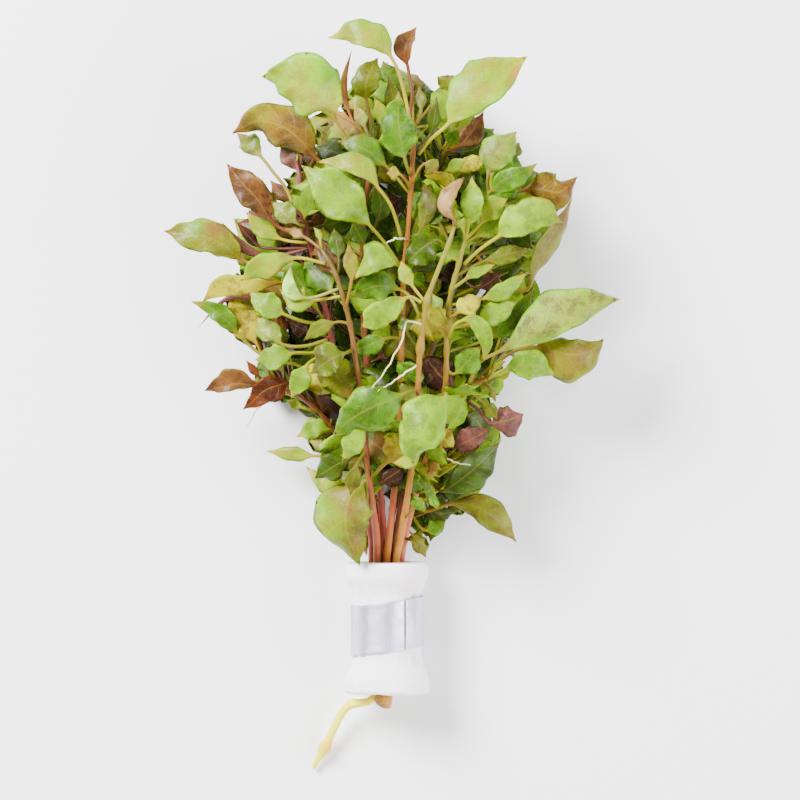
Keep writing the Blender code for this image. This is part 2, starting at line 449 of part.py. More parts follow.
def leaf_stations(stem_run, at, first, points, heights, widths, rises, belly, slide, lift, shares):
    """Cross-sections of a leaf: (midrib point, way across, half widths, rises, thickness)."""
    i = nearest_on(stem_run, *at)
    i = min(max(i, 1), len(stem_run) - 2)
    root = stem_run[i]
    axis = (stem_run[i + 1] - stem_run[i - 1]).normalized()
    blade = points[first:]
    span = [0.0]
    for a, b in zip(blade, blade[1:]):
        span.append(span[-1] + math.hypot(b[0] - a[0], b[1] - a[1]))
    path = []
    for k, (px, py) in enumerate(points):
        if k < first:
            share = (k + 1) / (first + 1)
            z = root.z + (heights[0] - root.z) * share + lift * share
        else:
            t = span[k - first] / span[-1]
            z = (heights[0] * (1 - t) * (1 - 2 * t) + heights[1] * 4 * t * (1 - t)
                 + heights[2] * t * (2 * t - 1)) + lift
        path.append(spot(px, py, max(z, 0.6)))
    away = path[0] - root
    away -= axis * away.dot(axis)
    if away.length < 1e-4:
        away = Vector((0, 0, 1))
    start = root + away.normalized() * slide
    run = smooth_run([start] + path)
    total = lengths(run)
    foot = total[(first + 1) * 8]
    full = total[-1]
    result = []
    slim = 0.4 if max(widths) < 2 else 1.0
    for part, t in shares:
        s = foot * t if part == 0 else foot + (full - foot) * t
        p = read_at(run, total, s)
        way = read_at(run, total, s + 0.4) - read_at(run, total, s - 0.4)
        flat = Vector((way.x, way.y, 0.0))
        if flat.length < 1e-4:
            flat = Vector((0, 1, 0))
        flat.normalize()
        across = Vector((-flat.y, flat.x, 0.0))
        form = blade_outline(t, belly) if part == 1 else 0.0
        left = max(widths[0] * PIXEL * form, PETIOLE_HALF * (1 - 0.75 * t * part)) * slim
        right = max(widths[1] * PIXEL * form, PETIOLE_HALF * (1 - 0.75 * t * part)) * slim
        thick = LEAF_MID + (PETIOLE_DEPTH - LEAF_MID) * (1.0 if part == 0 else (1 - t) ** 4)
        thick *= (1.0 + slim) / 2
        normal = way.normalized().cross(across) * -1
        if normal.z < 0:
            normal.negate()
        result.append((p, across, normal, left, right, rises[0] * form, rises[1] * form, thick))
    return result, run[-1]


def leaf_skin(stations, tip, grow=0.0):
    """Closed skin of a leaf, four corners to a station, drawn out to a point at the tip."""
    verts = []
    for p, across, normal, left, right, rise_l, rise_r, thick in stations:
        half = thick / 2 + grow
        edge_l = p + across * (left + grow) + Vector((0, 0, rise_l))
        edge_r = p - across * (right + grow) + Vector((0, 0, rise_r))
        top = p + normal * half
        under = p - normal * half
        if grow == 0.0:
            under.z = max(under.z, 0.0)
            edge_l.z = max(edge_l.z, 0.12)
            edge_r.z = max(edge_r.z, 0.12)
            top.z = max(top.z, under.z + 0.35)
        verts += [edge_l, top, edge_r, under]
    end = tip.copy()
    end.z = max(end.z, 0.2)
    verts.append(end)
    faces = [(0, 1, 2), (0, 2, 3)]
    for i in range(len(stations) - 1):
        a, b = 4 * i, 4 * i + 4
        faces += [(a, b, b + 1), (a, b + 1, a + 1)]
        faces += [(a + 1, b + 1, b + 2), (a + 1, b + 2, a + 2)]
        faces += [(a + 2, b + 2, b + 3), (a + 2, b + 3, a + 3)]
        faces += [(a + 3, b + 3, b), (a + 3, b, a)]
    a, e = 4 * (len(stations) - 1), len(verts) - 1
    faces += [(a, e, a + 1), (a + 1, e, a + 2), (a + 2, e, a + 3), (a + 3, e, a)]
    return verts, faces


def box_of(verts, grow=0.0):
    return (min(v.x for v in verts) - grow, max(v.x for v in verts) + grow,
            min(v.y for v in verts) - grow, max(v.y for v in verts) + grow,
            min(v.z for v in verts) - grow, max(v.z for v in verts) + grow)


def boxes_meet(a, b):
    return (a[0] <= b[1] and b[0] <= a[1] and a[2] <= b[3] and b[2] <= a[3]
            and a[4] <= b[5] and b[4] <= a[5])


class Placed:
    """Shapes already in place, each with its box and its search tree."""

    def __init__(self):
        self.items = []

    def add(self, name, verts, faces):
        self.items.append((name, box_of(verts), BVHTree.FromPolygons(verts, faces)))

    def meets(self, verts, faces, leave_out=()):
        box = box_of(verts)
        near = [item for item in self.items
                if item[0] not in leave_out and boxes_meet(box, item[1])]
        if not near:
            return False
        tree = BVHTree.FromPolygons(verts, faces)
        return any(tree.overlap(item[2]) for item in near)


def tube_skin(run, radii, sides=8):
    """Tube skin round a run, for the clearance search only."""
    verts, faces = [], []
    for i, p in enumerate(run):
        way = (run[min(i + 1, len(run) - 1)] - run[max(i - 1, 0)]).normalized()
        side = way.cross(Vector((0, 0, 1))).normalized()
        up = side.cross(way)
        for k in range(sides):
            turn = 2 * math.pi * k / sides
            verts.append(p + (side * math.cos(turn) + up * math.sin(turn)) * radii[i])
    for i in range(len(run) - 1):
        for k in range(sides):
            a, b = i * sides + k, i * sides + (k + 1) % sides
            faces.append((a, b, b + sides, a + sides))
    faces.append(tuple(range(sides)))
    faces.append(tuple(len(verts) - 1 - k for k in range(sides)))
    return verts, faces


BLADE_SHARES = [(1, 0.0), (1, 0.15), (1, 0.32), (1, 0.50), (1, 0.68), (1, 0.85)]
SMALL_SHARES = [(0, 0.0), (1, 0.16), (1, 0.42), (1, 0.76)]
FILL_SHARES = [(0, 0.0), (1, 0.26), (1, 0.66)]
ROOT_SHARES = [(0, 0.0), (1, 0.0), (1, 0.25), (1, 0.5), (1, 0.75)]


def picture(point):
    """Where a point shows in the picture."""
    scale = PIXEL * (EYE - point.z) / EYE_DISTANCE
    return ((point.x - EYE_XY[0]) / scale + EYE_PX[0], EYE_PX[1] - (point.y - EYE_XY[1]) / scale)


def inside(outline, x, y):
    """Whether a picture point lies inside an outline."""
    found = False
    for (ax, ay), (bx, by) in zip(outline, outline[1:] + outline[:1]):
        if (ay > y) != (by > y) and x < (bx - ax) * (y - ay) / (by - ay) + ax:
            found = not found
    return found


def fill_rows(runs):
    """Rows for the leaves that fill the bunch, lowest stems first."""
    chance = random.Random(FILL_SEED)
    rows = []
    for name in sorted(runs, key=lambda n: runs[n][len(runs[n]) // 2].z):
        run = runs[name]
        total = lengths(run)
        begin = next(total[i] for i, p in enumerate(run) if p.y > 12.0)
        s, turn = begin + chance.uniform(0, 6), chance.uniform(0, 3)
        while s < total[-1] - 4:
            root = read_at(run, total, s)
            axis = (read_at(run, total, s + 0.5) - read_at(run, total, s - 0.5)).normalized()
            side = axis.cross(Vector((0, 0, 1))).normalized()
            up = side.cross(axis)
            for half in (0, math.pi):
                angle = turn + half + chance.uniform(-0.3, 0.3)
                out = side * math.cos(angle) + up * math.sin(angle) * 0.8
                reach = chance.uniform(*FILL_LENGTH)
                way = (out * 0.85 + axis * chance.uniform(0.2, 0.7)).normalized()
                path, heights = [], []
                for part in (0.22, 0.6, 1.0):
                    p = root + way * reach * part
                    p.z = max(p.z - 3.0 * part * part, 1.0)
                    path.append(picture(p))
                    heights.append(p.z)
                ok = all(inside(FOLIAGE, *p) for p in path) and max(heights) < FILL_TOP
                if ok and out.z < 0.45:
                    half_width = reach * FILL_WIDTH / PIXEL
                    colour = chance.choice(("deep", "green", "deep", "olive", "plum"))
                    rows.append((name, picture(root), 0, path, heights, (half_width, half_width), colour))
            s += FILL_SPACING
            turn += math.pi / 2
    return rows


def lift_order():
    yield 0.0
    for k in range(1, LIFT_STEPS):
        yield k * LIFT_STEP
        yield -k * LIFT_STEP


def settle():
    """Find each leaf a free place: its foot stays and its blade is raised or lowered."""
    runs = {name: smooth_run(stem_line(name)) for name in STEMS}
    radii = {}
    for name, run in runs.items():
        total = lengths(run)
        radii[name] = [stem_radius(name, p, total[i] / total[-1]) for i, p in enumerate(run)]
    placed = Placed()
    for name, run in runs.items():
        placed.add(name, *tube_skin(run, radii[name]))
    x, z = SLEEVE_AXIS
    mouth = [Vector((x, 0.0, z)), Vector((x, -SLEEVE_LENGTH, z))]
    placed.add("foam_sleeve", *tube_skin(mouth, [SLEEVE_RADIUS, SLEEVE_RADIUS], 24))
    rows = []
    for name, (stem, at, first, points, heights, widths, rises, belly, colour) in LEAVES.items():
        rows.append((heights[1], name, stem, at, first, points, heights, widths, rises, belly, False))
    for stem, small in SMALL_LEAVES.items():
        for k, (at, first, points, heights, widths, colour) in enumerate(small):
            rows.append((heights[1], stem + "." + str(k), stem, at, first, points, heights, widths,
                         (0, 0), 0.45, True))
    rows.sort(key=lambda row: (row[0], row[1]))
    settled = {}
    for _, name, stem, at, first, points, heights, widths, rises, belly, small in rows:
        run = runs[stem]
        if small and max(widths) < 2:
            shares = ROOT_SHARES
        elif small:
            shares = SMALL_SHARES
        else:
            shares = [(0, k / (first + 2)) for k in range(first + 2)] + BLADE_SHARES
        i = min(max(nearest_on(run, *at), 1), len(run) - 2)
        radius = radii[stem][i]
        kin = [stem]
        if small:
            kin += [stem + "." + str(k) for k in range(len(SMALL_LEAVES[stem]))]
        own = Placed()
        own.add(stem, *tube_skin(run, [r + GAP for r in radii[stem]]))
        found = None
        for lift in lift_order():
            if small:
                slides = [0.0]
            else:
                slides = [radius + GAP + 0.1 * k for k in range(1, 28)]
            for slide in slides:
                stations, tip = leaf_stations(run, at, first, points, heights, widths, rises, belly,
                                              slide, lift, shares)
                if not small:
                    if own.meets(*leaf_skin(stations, tip)):
                        continue
                verts, faces = leaf_skin(stations, tip, LEAF_CLEAR)
                if placed.meets(verts, faces, kin):
                    break
                found = (slide, lift)
                break
            if found:
                break
        if not found:
            raise ValueError("no free place for " + name)
        stations, tip = leaf_stations(run, at, first, points, heights, widths, rises, belly,
                                      found[0], found[1], shares)
        verts, faces = leaf_skin(stations, tip)
        placed.add(name, verts, faces)
        settled[name] = (verts, faces, found)
    filled = 0
    for stem, at, first, points, heights, widths, colour in fill_rows(runs):
        if filled >= FILL_LIMIT:
            break
        for lift in (0.0, -1.5, 1.5, -3.0, 3.0):
            stations, tip = leaf_stations(runs[stem], at, first, points, heights, widths, (0, 0), 0.45,
                                          0.0, lift, FILL_SHARES)
            if placed.meets(*leaf_skin(stations, tip, LEAF_CLEAR), (stem,)):
                continue
            verts, faces = leaf_skin(stations, tip)
            name = stem + ".fill" + str(filled)
            placed.add(name, verts, faces)
            settled[name] = (verts, faces, (0.0, lift))
            filled += 1
            break
    return runs, radii, settled


def material(name, colour, roughness, metallic=0.0):
    made = bpy.data.materials.new(name)
    made.use_nodes = True
    shader = made.node_tree.nodes["Principled BSDF"]
    shader.inputs["Base Color"].default_value = (*colour, 1.0)
    shader.inputs["Roughness"].default_value = roughness
    shader.inputs["Metallic"].default_value = metallic
    return made


def mesh_object(name, verts, faces, collection, slot):
    mesh = bpy.data.meshes.new(name)
    mesh.from_pydata([tuple(v * MM) for v in verts], [], faces)
    mesh.materials.append(slot)
    made = bpy.data.objects.new(name, mesh)
    collection.objects.link(made)
    tidy(made)
    return made


def tidy(made):
    work = bmesh.new()
    work.from_mesh(made.data)
    bmesh.ops.remove_doubles(work, verts=work.verts, dist=1e-6)
    bmesh.ops.recalc_face_normals(work, faces=work.faces)
    work.to_mesh(made.data)
    work.free()
    made.data.update()


def tube_object(name, points, radii, collection, slot):
    """Round tube with filled ends along a run."""
    curve = bpy.data.curves.new(name, "CURVE")
    curve.dimensions = "3D"
    curve.bevel_depth = MM
    curve.bevel_resolution = 1
    curve.use_fill_caps = True
    spline = curve.splines.new("POLY")
    spline.points.add(len(points) - 1)
    for point, p, r in zip(spline.points, points, radii):
        point.co = (*(p * MM), 1.0)
        point.radius = r
    holder = bpy.data.objects.new(name + "_curve", curve)
    collection.objects.link(holder)
    graph = bpy.context.evaluated_depsgraph_get()
    mesh = bpy.data.meshes.new_from_object(holder.evaluated_get(graph))
    mesh.transform(holder.matrix_world)
    bpy.data.objects.remove(holder, do_unlink=True)
    mesh.name = name
    mesh.materials.clear()
    mesh.materials.append(slot)
    made = bpy.data.objects.new(name, mesh)
    collection.objects.link(made)
    tidy(made)
    for face in mesh.polygons:
        face.use_smooth = len(face.vertices) == 4
    return made


def stem_stations(run, radii):
    """Thin the run out to one point every 14 mm or so, closer at bends and thick places."""
    total = lengths(run)
    keep = [0]
    for i in range(1, len(run) - 1):
        step = total[i] - total[keep[-1]]
        a = (run[i] - run[keep[-1]]).normalized()
        b = (run[min(i + 2, len(run) - 1)] - run[i]).normalized()
        bend = math.degrees(a.angle(b, 0.0))
        if step > 17 or (step > 4 and bend > 7) or (step > 1.6 and abs(radii[i] - radii[keep[-1]]) > 0.25):
            keep.append(i)
    keep.append(len(run) - 1)
    return [run[i] for i in keep], [radii[i] for i in keep]


def volume(mesh):
    """Volume in cubic millimetres, or nothing where the skin is open."""
    work = bmesh.new()
    work.from_mesh(mesh)
    bmesh.ops.triangulate(work, faces=work.faces)
    found = work.calc_volume(signed=True) / MM ** 3
    if any(not edge.is_manifold for edge in work.edges):
        found = 0.0
    work.free()
    return found


def join_solids(base, parts):
    """Unite closed bodies with a base body, each moved a hair where the faces just meet."""
    for part in parts:
        least = volume(base.data) + 0.4 * volume(part.data)
        for nudge in (0.0, 0.001, 0.02, -0.03, 0.05, -0.07):
            part.location = (nudge * MM, -nudge * MM, nudge * MM * 0.6)
            union = base.modifiers.new("union", "BOOLEAN")
            union.operation = "UNION"
            union.solver = "EXACT"
            union.use_self = nudge != 0.0
            union.object = part
            graph = bpy.context.evaluated_depsgraph_get()
            mesh = bpy.data.meshes.new_from_object(base.evaluated_get(graph))
            base.modifiers.clear()
            if volume(mesh) > least:
                break
            bpy.data.meshes.remove(mesh)
        else:
            raise ValueError(part.name + " could not be united")
        old = base.data
        base.data = mesh
        bpy.data.meshes.remove(old)
        bpy.data.objects.remove(part, do_unlink=True)
    work = bmesh.new()
    work.from_mesh(base.data)
    bmesh.ops.triangulate(work, faces=work.faces)
    work.to_mesh(base.data)
    work.free()


def sleeve(collection, slot):
    """Foam sleeve: a turned ring with a waist under the strip, flat where it rests."""
    r, edge, length = SLEEVE_RADIUS, SLEEVE_EDGE, SLEEVE_LENGTH
    near, far = STRIP_CENTRE + STRIP_WIDTH / 2 + 1.0, STRIP_CENTRE - STRIP_WIDTH / 2 - 1.0
    profile = [
        (SLEEVE_BORE, 0.0), (r - edge, 0.0), (r, -edge),
        (r, near + 3.5), (SLEEVE_WAIST, near), (SLEEVE_WAIST, far), (r, far - 3.5),
        (r, -length + edge), (r - edge, -length), (SLEEVE_BORE, -length),
    ]
    work = bmesh.new()
    ring = [work.verts.new((radius, y, 0.0)) for radius, y in profile]
    edges = [work.edges.new((ring[i], ring[(i + 1) % len(ring)])) for i in range(len(ring))]
    bmesh.ops.spin(work, geom=ring + edges, cent=(0, 0, 0), axis=(0, 1, 0), angle=2 * math.pi,
                   steps=24, use_merge=True)
    bmesh.ops.remove_doubles(work, verts=work.verts, dist=1e-5)
    bmesh.ops.recalc_face_normals(work, faces=work.faces)
    for vert in work.verts:
        vert.co.x += SLEEVE_AXIS[0]
        vert.co.z = max(vert.co.z + SLEEVE_AXIS[1], 0.0)
        vert.co = vert.co * MM
    mesh = bpy.data.meshes.new("foam_sleeve")
    work.to_mesh(mesh)
    work.free()
    mesh.materials.append(slot)
    made = bpy.data.objects.new("foam_sleeve", mesh)
    collection.objects.link(made)
    return made


def strip(collection, slot):
    """Metal strip bent once round the sleeve, its end lapped over its start."""
    count = 25
    verts, faces = [], []
    for k in range(count + 1):
        turn = math.radians(STRIP_START + (360.0 + STRIP_LAP) * k / count)
        over = max(0.0, (360.0 + STRIP_LAP) * k / count - (360.0 - STRIP_LAP * 0.7))
        inner = STRIP_INNER + STRIP_STEP * min(1.0, over / (STRIP_LAP * 0.7))
        lean = STRIP_SKEW * math.cos(turn)
        for radius in (inner, inner + STRIP_THICKNESS):
            for side in (-0.5, 0.5):
                verts.append(Vector((SLEEVE_AXIS[0] + radius * math.cos(turn),
                                     STRIP_CENTRE + side * STRIP_WIDTH + lean,
                                     SLEEVE_AXIS[1] + radius * math.sin(turn))))
    for k in range(count):
        a, b = 4 * k, 4 * k + 4
        faces += [(a, a + 1, b + 1, b), (a + 1, a + 3, b + 3, b + 1), (a + 3, a + 2, b + 2, b + 3),
                  (a + 2, a, b, b + 2)]
    faces += [(0, 2, 3, 1), (4 * count, 4 * count + 1, 4 * count + 3, 4 * count + 2)]
    return mesh_object("metal_strip", verts, faces, collection, slot)


def main():
    for item in list(bpy.data.objects):
        bpy.data.objects.remove(item, do_unlink=True)
    bunch = bpy.data.collections.new("alternanthera_bunch")
    bpy.context.scene.collection.children.link(bunch)

    stem_slot = material("stem_skin", STEM_COLOUR, 0.45)
    foam_slot = material("foam", FOAM_COLOUR, 0.9)
    strip_slot = material("strip_metal", STRIP_COLOUR, 0.45, 0.9)
    used = sorted({row[-1] for row in LEAVES.values()})
    slots = {key: material("leaf_" + key, COLOURS[key], 0.35) for key in used}

    sleeve(bunch, foam_slot)
    strip(bunch, strip_slot)

    runs, radii, settled = settle()
    for name in STEMS:
        points, sizes = stem_stations(runs[name], radii[name])
        stem = tube_object(name, points, sizes, bunch, stem_slot)
        parts = []
        for key, (verts, faces, _) in settled.items():
            if key.startswith(name + "."):
                parts.append(mesh_object(key, verts, faces, bunch, stem_slot))
        join_solids(stem, parts)
    for name, row in LEAVES.items():
        verts, faces, _ = settled[name]
        mesh_object(name, verts, faces, bunch, slots[row[-1]])

    low = Vector((1e9, 1e9, 1e9))
    high = Vector((-1e9, -1e9, -1e9))
    for made in bunch.objects:
        for vert in made.data.vertices:
            for axis in range(3):
                low[axis] = min(low[axis], vert.co[axis])
                high[axis] = max(high[axis], vert.co[axis])
    shift = Vector((-(low.x + high.x) / 2, -(low.y + high.y) / 2, -low.z))
    for made in bunch.objects:
        for vert in made.data.vertices:
            vert.co += shift
        made.data.update()


main()
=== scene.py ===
"""Looks for a bunch of alternanthera cuttings that lies in its foam sleeve.

The stems, the leaves and the way each leaf finds its free place follow the same named
sizes as the solids. All working lengths are in millimetres in the sleeve's own frame:
the origin is at the middle of the sleeve's mouth on the surface and +Y runs to the leaf
tops. Meshes are made in metres in the part's frame.
"""
import functools
import math
import random
from typing import NamedTuple

import bmesh
import bpy
import numpy
from bpy.props import FloatProperty, FloatVectorProperty, IntProperty, PointerProperty
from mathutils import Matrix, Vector, noise
from mathutils.bvhtree import BVHTree


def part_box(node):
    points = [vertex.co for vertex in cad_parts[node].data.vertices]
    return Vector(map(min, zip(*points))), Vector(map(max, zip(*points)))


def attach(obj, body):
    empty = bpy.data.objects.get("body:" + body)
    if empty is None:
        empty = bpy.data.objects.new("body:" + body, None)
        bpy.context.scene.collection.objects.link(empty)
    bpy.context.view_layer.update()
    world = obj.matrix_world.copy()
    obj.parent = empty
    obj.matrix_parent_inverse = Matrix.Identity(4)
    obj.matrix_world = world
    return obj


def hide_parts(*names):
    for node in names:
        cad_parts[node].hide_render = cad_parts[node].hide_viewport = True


bl_info = {
    "name": "Alternanthera bunch",
    "version": (1, 0, 0),
    "blender": (4, 5, 0),
    "location": "View3D > Sidebar > Bunch",
    "description": "Builds the leaves, stems, sleeve and strip of a bunch of aquarium plant cuttings",
    "category": "Object",
}

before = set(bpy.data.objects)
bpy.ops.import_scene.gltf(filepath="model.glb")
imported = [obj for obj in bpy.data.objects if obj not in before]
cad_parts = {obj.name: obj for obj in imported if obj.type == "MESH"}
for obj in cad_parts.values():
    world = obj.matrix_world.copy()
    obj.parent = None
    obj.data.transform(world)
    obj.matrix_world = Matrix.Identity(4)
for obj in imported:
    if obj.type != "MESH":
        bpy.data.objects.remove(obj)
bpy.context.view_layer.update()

# The picture and the eye over it.
MM = 0.001
PIXEL = 0.3            # millimetres to one picture element at the middle height
EYE = 1235.0           # height of the eye above the surface
EYE_DISTANCE = 1200.0  # eye to the middle height, where PIXEL holds
EYE_PX = (400.0, 400.0)
EYE_XY = (3.6, 49.5)   # where the line of sight meets the surface
PICTURE_SIZE = 800
UP = Vector((0, 0, 1))
ALONG = Vector((0, 1, 0))

# Foam sleeve.
SLEEVE_LENGTH = 40.0
SLEEVE_RADIUS = 13.2
SLEEVE_WAIST = 10.6
SLEEVE_BORE = 6.5
SLEEVE_AXIS = (-0.45, 12.4)   # x and height of the sleeve's axis
SLEEVE_EDGE = 1.4
SLEEVE_LIP = 0.5              # how far the bore's edge is cut back
SLEEVE_SHOULDER = 2.2         # where the slope down to the waist begins, past the edge
SLEEVE_FALL = 2.0             # how far past the edge the slope's length is counted
SLEEVE_SLOPE = 0.8, 1.2       # exponents of the slopes above and below the waist
EDGE_STEPS = 6
SLOPE_STEPS = 12
BORE_STEPS = 8
FOAM_DENTS = ((0.45, 0.11), (0.18, 0.33))   # depth and fineness of the dents
FOAM_SHRINK = 0.2             # by how much the foam stays inside its solid
PUCKER_PLACE = 2.4            # distance of the creases from the strip
PUCKER_REACH = 2.2
CREASES = 17                  # creases round the sleeve

# Metal strip.
STRIP_WIDTH = 15.2
STRIP_CENTRE = -19.4
STRIP_THICKNESS = 0.5
STRIP_INNER = 10.95
STRIP_LAP = 40.0       # degrees that the end lies over the start
STRIP_STEP = 0.85      # how far the lapped end stands off
STRIP_SKEW = 1.5
STRIP_START = 20.0
STRIP_MARGIN = 0.9     # foam at waist size beside the strip
STRIP_RISE = 0.7       # share of the lap over which the end rises off the start
STRIP_OFF = 0.06       # gap between the foam and the strip
STRIP_DENT = 0.22
STRIP_CURL = 0.12      # how far the two long edges stand up
STRIP_RAGGED = 0.25
STRIP_LOW = 0.3
STRIP_STEPS = 150, 14  # steps along and across
STRIP_BEVEL = 0.12

# Stems.
STEM_FOOT = 1.3        # stem radius in the sleeve
STEM_TOP = 0.75        # stem radius at the growing tip
STEM_PITCH = 3.0       # spacing of the stems in the sleeve
STEM_ROW = 0.88        # height between rows of stems, as a share of the spacing
STEM_STRAIGHT = (-SLEEVE_LENGTH + 2.0, -SLEEVE_LENGTH / 2, -2.0, 1.5)   # y where stems run straight
NODE_REACH = 2.2       # half length of a thickened place
SPAN_STEPS = 8         # points of a smooth curve to each given point
STEM_STEP = 1.2        # millimetres between the rings of a stem
AROUND_STEM = 14
AROUND_ROOT = 8
JOINT_APART = 3.0
JOINT_REACH = 1.1
JOINT_MOST = 1.2
JOINT_SHADE = 0.62, 0.55   # how dark a joint is, and the most of that shade
STEM_UNEVEN = 0.07
TAIL_TAPER = 7.0       # millimetres over which the long tail thins to its end
TAIL_THIN = 0.45
STEM_SLIM = 0.16       # how much slimmer a stem looks once it is clear of the sleeve
CUT_ROUND = 3.2        # millimetres over which the short cut end rounds off
CUT_SWELL = 0.5        # how much the short cut end swells, as a share of its radius
TIP_TAPER = 4.0        # millimetres over which a stem thins to its growing tip
TIP_SIZE = 0.35
STEM_RUN = 110.0       # length over which a stem's tone changes
BLUSH_SHADE = 0.72

# Leaves.
GAP = 0.3              # clearance between pieces that touch
LEAF_MID = 0.75        # thickness along the midrib
PETIOLE_HALF = 0.65
PETIOLE_DEPTH = 1.1
PETIOLE_TAPER = 0.75
LEAF_FOOT = 1.25       # outline exponent from the petiole to the widest place
LEAF_TIP = 1.15        # outline exponent from the widest place to the tip
LEAF_CLEAR = 0.35      # half of the free space kept round each leaf
LIFT_STEP = 1.1
LIFT_STEPS = 26
SLIDE_STEP = 0.1
SLIDE_STEPS = 28
LEVEL = (0, 0)         # both margins as high as the midrib
SMALL_BELLY = 0.45     # widest place of a small blade
YOUNG_BELLY = 0.5
ROOT_SLIM = 0.4        # thickness of a root, as a share of a stalk's
ROOT_WIDTH = 2         # half width in picture elements below which a row is a root
LOWEST = 0.6           # least height of a midrib
EDGE_LOW = 0.12        # least height of a margin
BODY_LOW = 0.35        # least thickness over the surface
TIP_LOW = 0.2          # least height of a leaf's tip
WAY_STEP = 0.4         # distance over which a direction is read
SHORT = 1e-4           # length below which a vector has no direction

# Leaf tones as screen colours: blade, mottling, margin, stalk; then how pale the veins are.
TONES = {
    "bright": ((169, 194, 2), (144, 174, 1), (190, 208, 6), (192, 192, 28), 0.22),
    "lime": ((180, 194, 4), (182, 178, 40), (164, 202, 2), (198, 192, 40), 0.3),
    "green": ((124, 168, 1), (90, 132, 1), (160, 194, 4), (172, 170, 24), 0.18),
    "deep": ((94, 132, 2), (90, 102, 4), (104, 142, 2), (126, 124, 14), 0.12),
    "yellow": ((204, 200, 16), (172, 146, 24), (210, 210, 30), (196, 172, 44), 0.2),
    "khaki": ((166, 166, 14), (160, 134, 44), (174, 188, 10), (184, 160, 42), 0.3),
    "olive": ((138, 148, 6), (116, 104, 14), (152, 170, 10), (156, 146, 28), 0.2),
    "sage": ((170, 184, 60), (146, 142, 62), (176, 206, 36), (188, 180, 74), 0.6),
    "mint": ((196, 216, 140), (168, 188, 90), (208, 224, 150), (184, 188, 100), 0.25),
    "amber": ((160, 126, 16), (124, 78, 26), (160, 168, 10), (170, 120, 44), 0.25),
    "russet": ((158, 104, 44), (116, 56, 28), (166, 134, 30), (168, 104, 56), 0.2),
    "red": ((138, 50, 10), (88, 24, 6), (166, 84, 18), (152, 70, 26), 0.12),
    "pink": ((206, 186, 140), (168, 116, 74), (196, 170, 96), (180, 150, 70), 0.2),
    "purple": ((172, 112, 108), (136, 76, 80), (170, 124, 84), (164, 96, 84), 0.2),
    "plum": ((104, 46, 32), (70, 26, 20), (108, 62, 16), (132, 66, 34), 0.1),
    "root": ((240, 232, 214), (214, 200, 170), (242, 236, 222), (224, 206, 170), 0.0),
}
# Stem tones from the sleeve to the growing tip, as screen colours.
STEM_TONES = {
    "stem_front": ((214, 184, 74), (198, 160, 26), (184, 184, 22)),
    "stem_right_tall": ((216, 158, 118), (198, 168, 36), (186, 186, 24)),
    "stem_crown": ((210, 166, 76), (196, 148, 24), (198, 152, 28)),
    "stem_upper_left": ((208, 142, 104), (178, 104, 48), (180, 130, 44)),
    "stem_left": ((206, 138, 108), (176, 84, 56), (170, 84, 50)),
    "stem_centre_left": ((210, 152, 98), (176, 116, 30), (160, 142, 24)),
    "stem_low_left": ((210, 140, 108), (182, 116, 44), (166, 104, 32)),
    "stem_right": ((214, 154, 120), (200, 160, 40), (180, 182, 30)),
    "stem_low_centre": ((152, 96, 44), (120, 78, 24), (122, 106, 18)),
    "stem_upper_right": ((170, 114, 44), (154, 118, 30), (156, 150, 22)),
}
STEM_TAIL = ((236, 230, 110), (228, 214, 90))   # the long cut stem below the sleeve
STEM_CUT = ((214, 192, 84), (190, 140, 50))     # the short cut end below the sleeve
# Local colour on leaves and stems: picture x, y, reach, screen colour, strength.
PATCHES = [
    (197, 225, 12, (146, 196, 6), 0.8), (212, 228, 10, (176, 112, 70), 0.8),
    (408, 62, 12, (204, 142, 84), 0.5), (401, 44, 6, (92, 52, 24), 0.8),
    (318, 104, 16, (196, 194, 110), 0.45), (322, 72, 16, (166, 206, 4), 0.6),
    (272, 82, 10, (160, 200, 4), 0.7), (330, 545, 15, (172, 200, 8), 0.8),
    (322, 508, 13, (180, 206, 8), 0.9), (352, 512, 8, (160, 124, 70), 0.7),
    (344, 478, 9, (150, 132, 30), 0.6), (366, 506, 7, (190, 190, 110), 0.7),
    (354, 542, 6, (176, 130, 84), 0.6), (361, 564, 6, (120, 192, 10), 0.8),
    (536, 268, 12, (176, 172, 50), 0.85), (549, 242, 11, (168, 158, 50), 0.85),
    (564, 216, 10, (150, 96, 30), 0.8), (519, 74, 7, (214, 150, 96), 0.7),
    (236, 133, 10, (130, 66, 24), 0.7), (268, 122, 14, (172, 136, 20), 0.5),
    (572, 190, 10, (162, 84, 30), 0.6), (545, 196, 12, (172, 136, 20), 0.5),
    (505, 517, 12, (180, 188, 70), 0.6), (575, 360, 14, (168, 132, 60), 0.5),
    (206, 388, 10, (104, 40, 12), 0.7), (232, 378, 10, (170, 112, 54), 0.6),
    (395, 505, 6, (216, 112, 104), 0.6), (430, 472, 8, (222, 116, 116), 0.3),
    (378, 446, 8, (210, 100, 100), 0.6), (340, 200, 14, (186, 206, 20), 0.4),
    (350, 118, 14, (222, 184, 140), 0.7), (262, 114, 13, (176, 176, 10), 0.7),
    (288, 146, 13, (156, 126, 80), 0.7), (388, 515, 12, (222, 132, 116), 0.5),
    (380, 706, 2.5, (96, 48, 22), 0.85),
    (325, 746, 7, (222, 206, 96), 0.7),
]

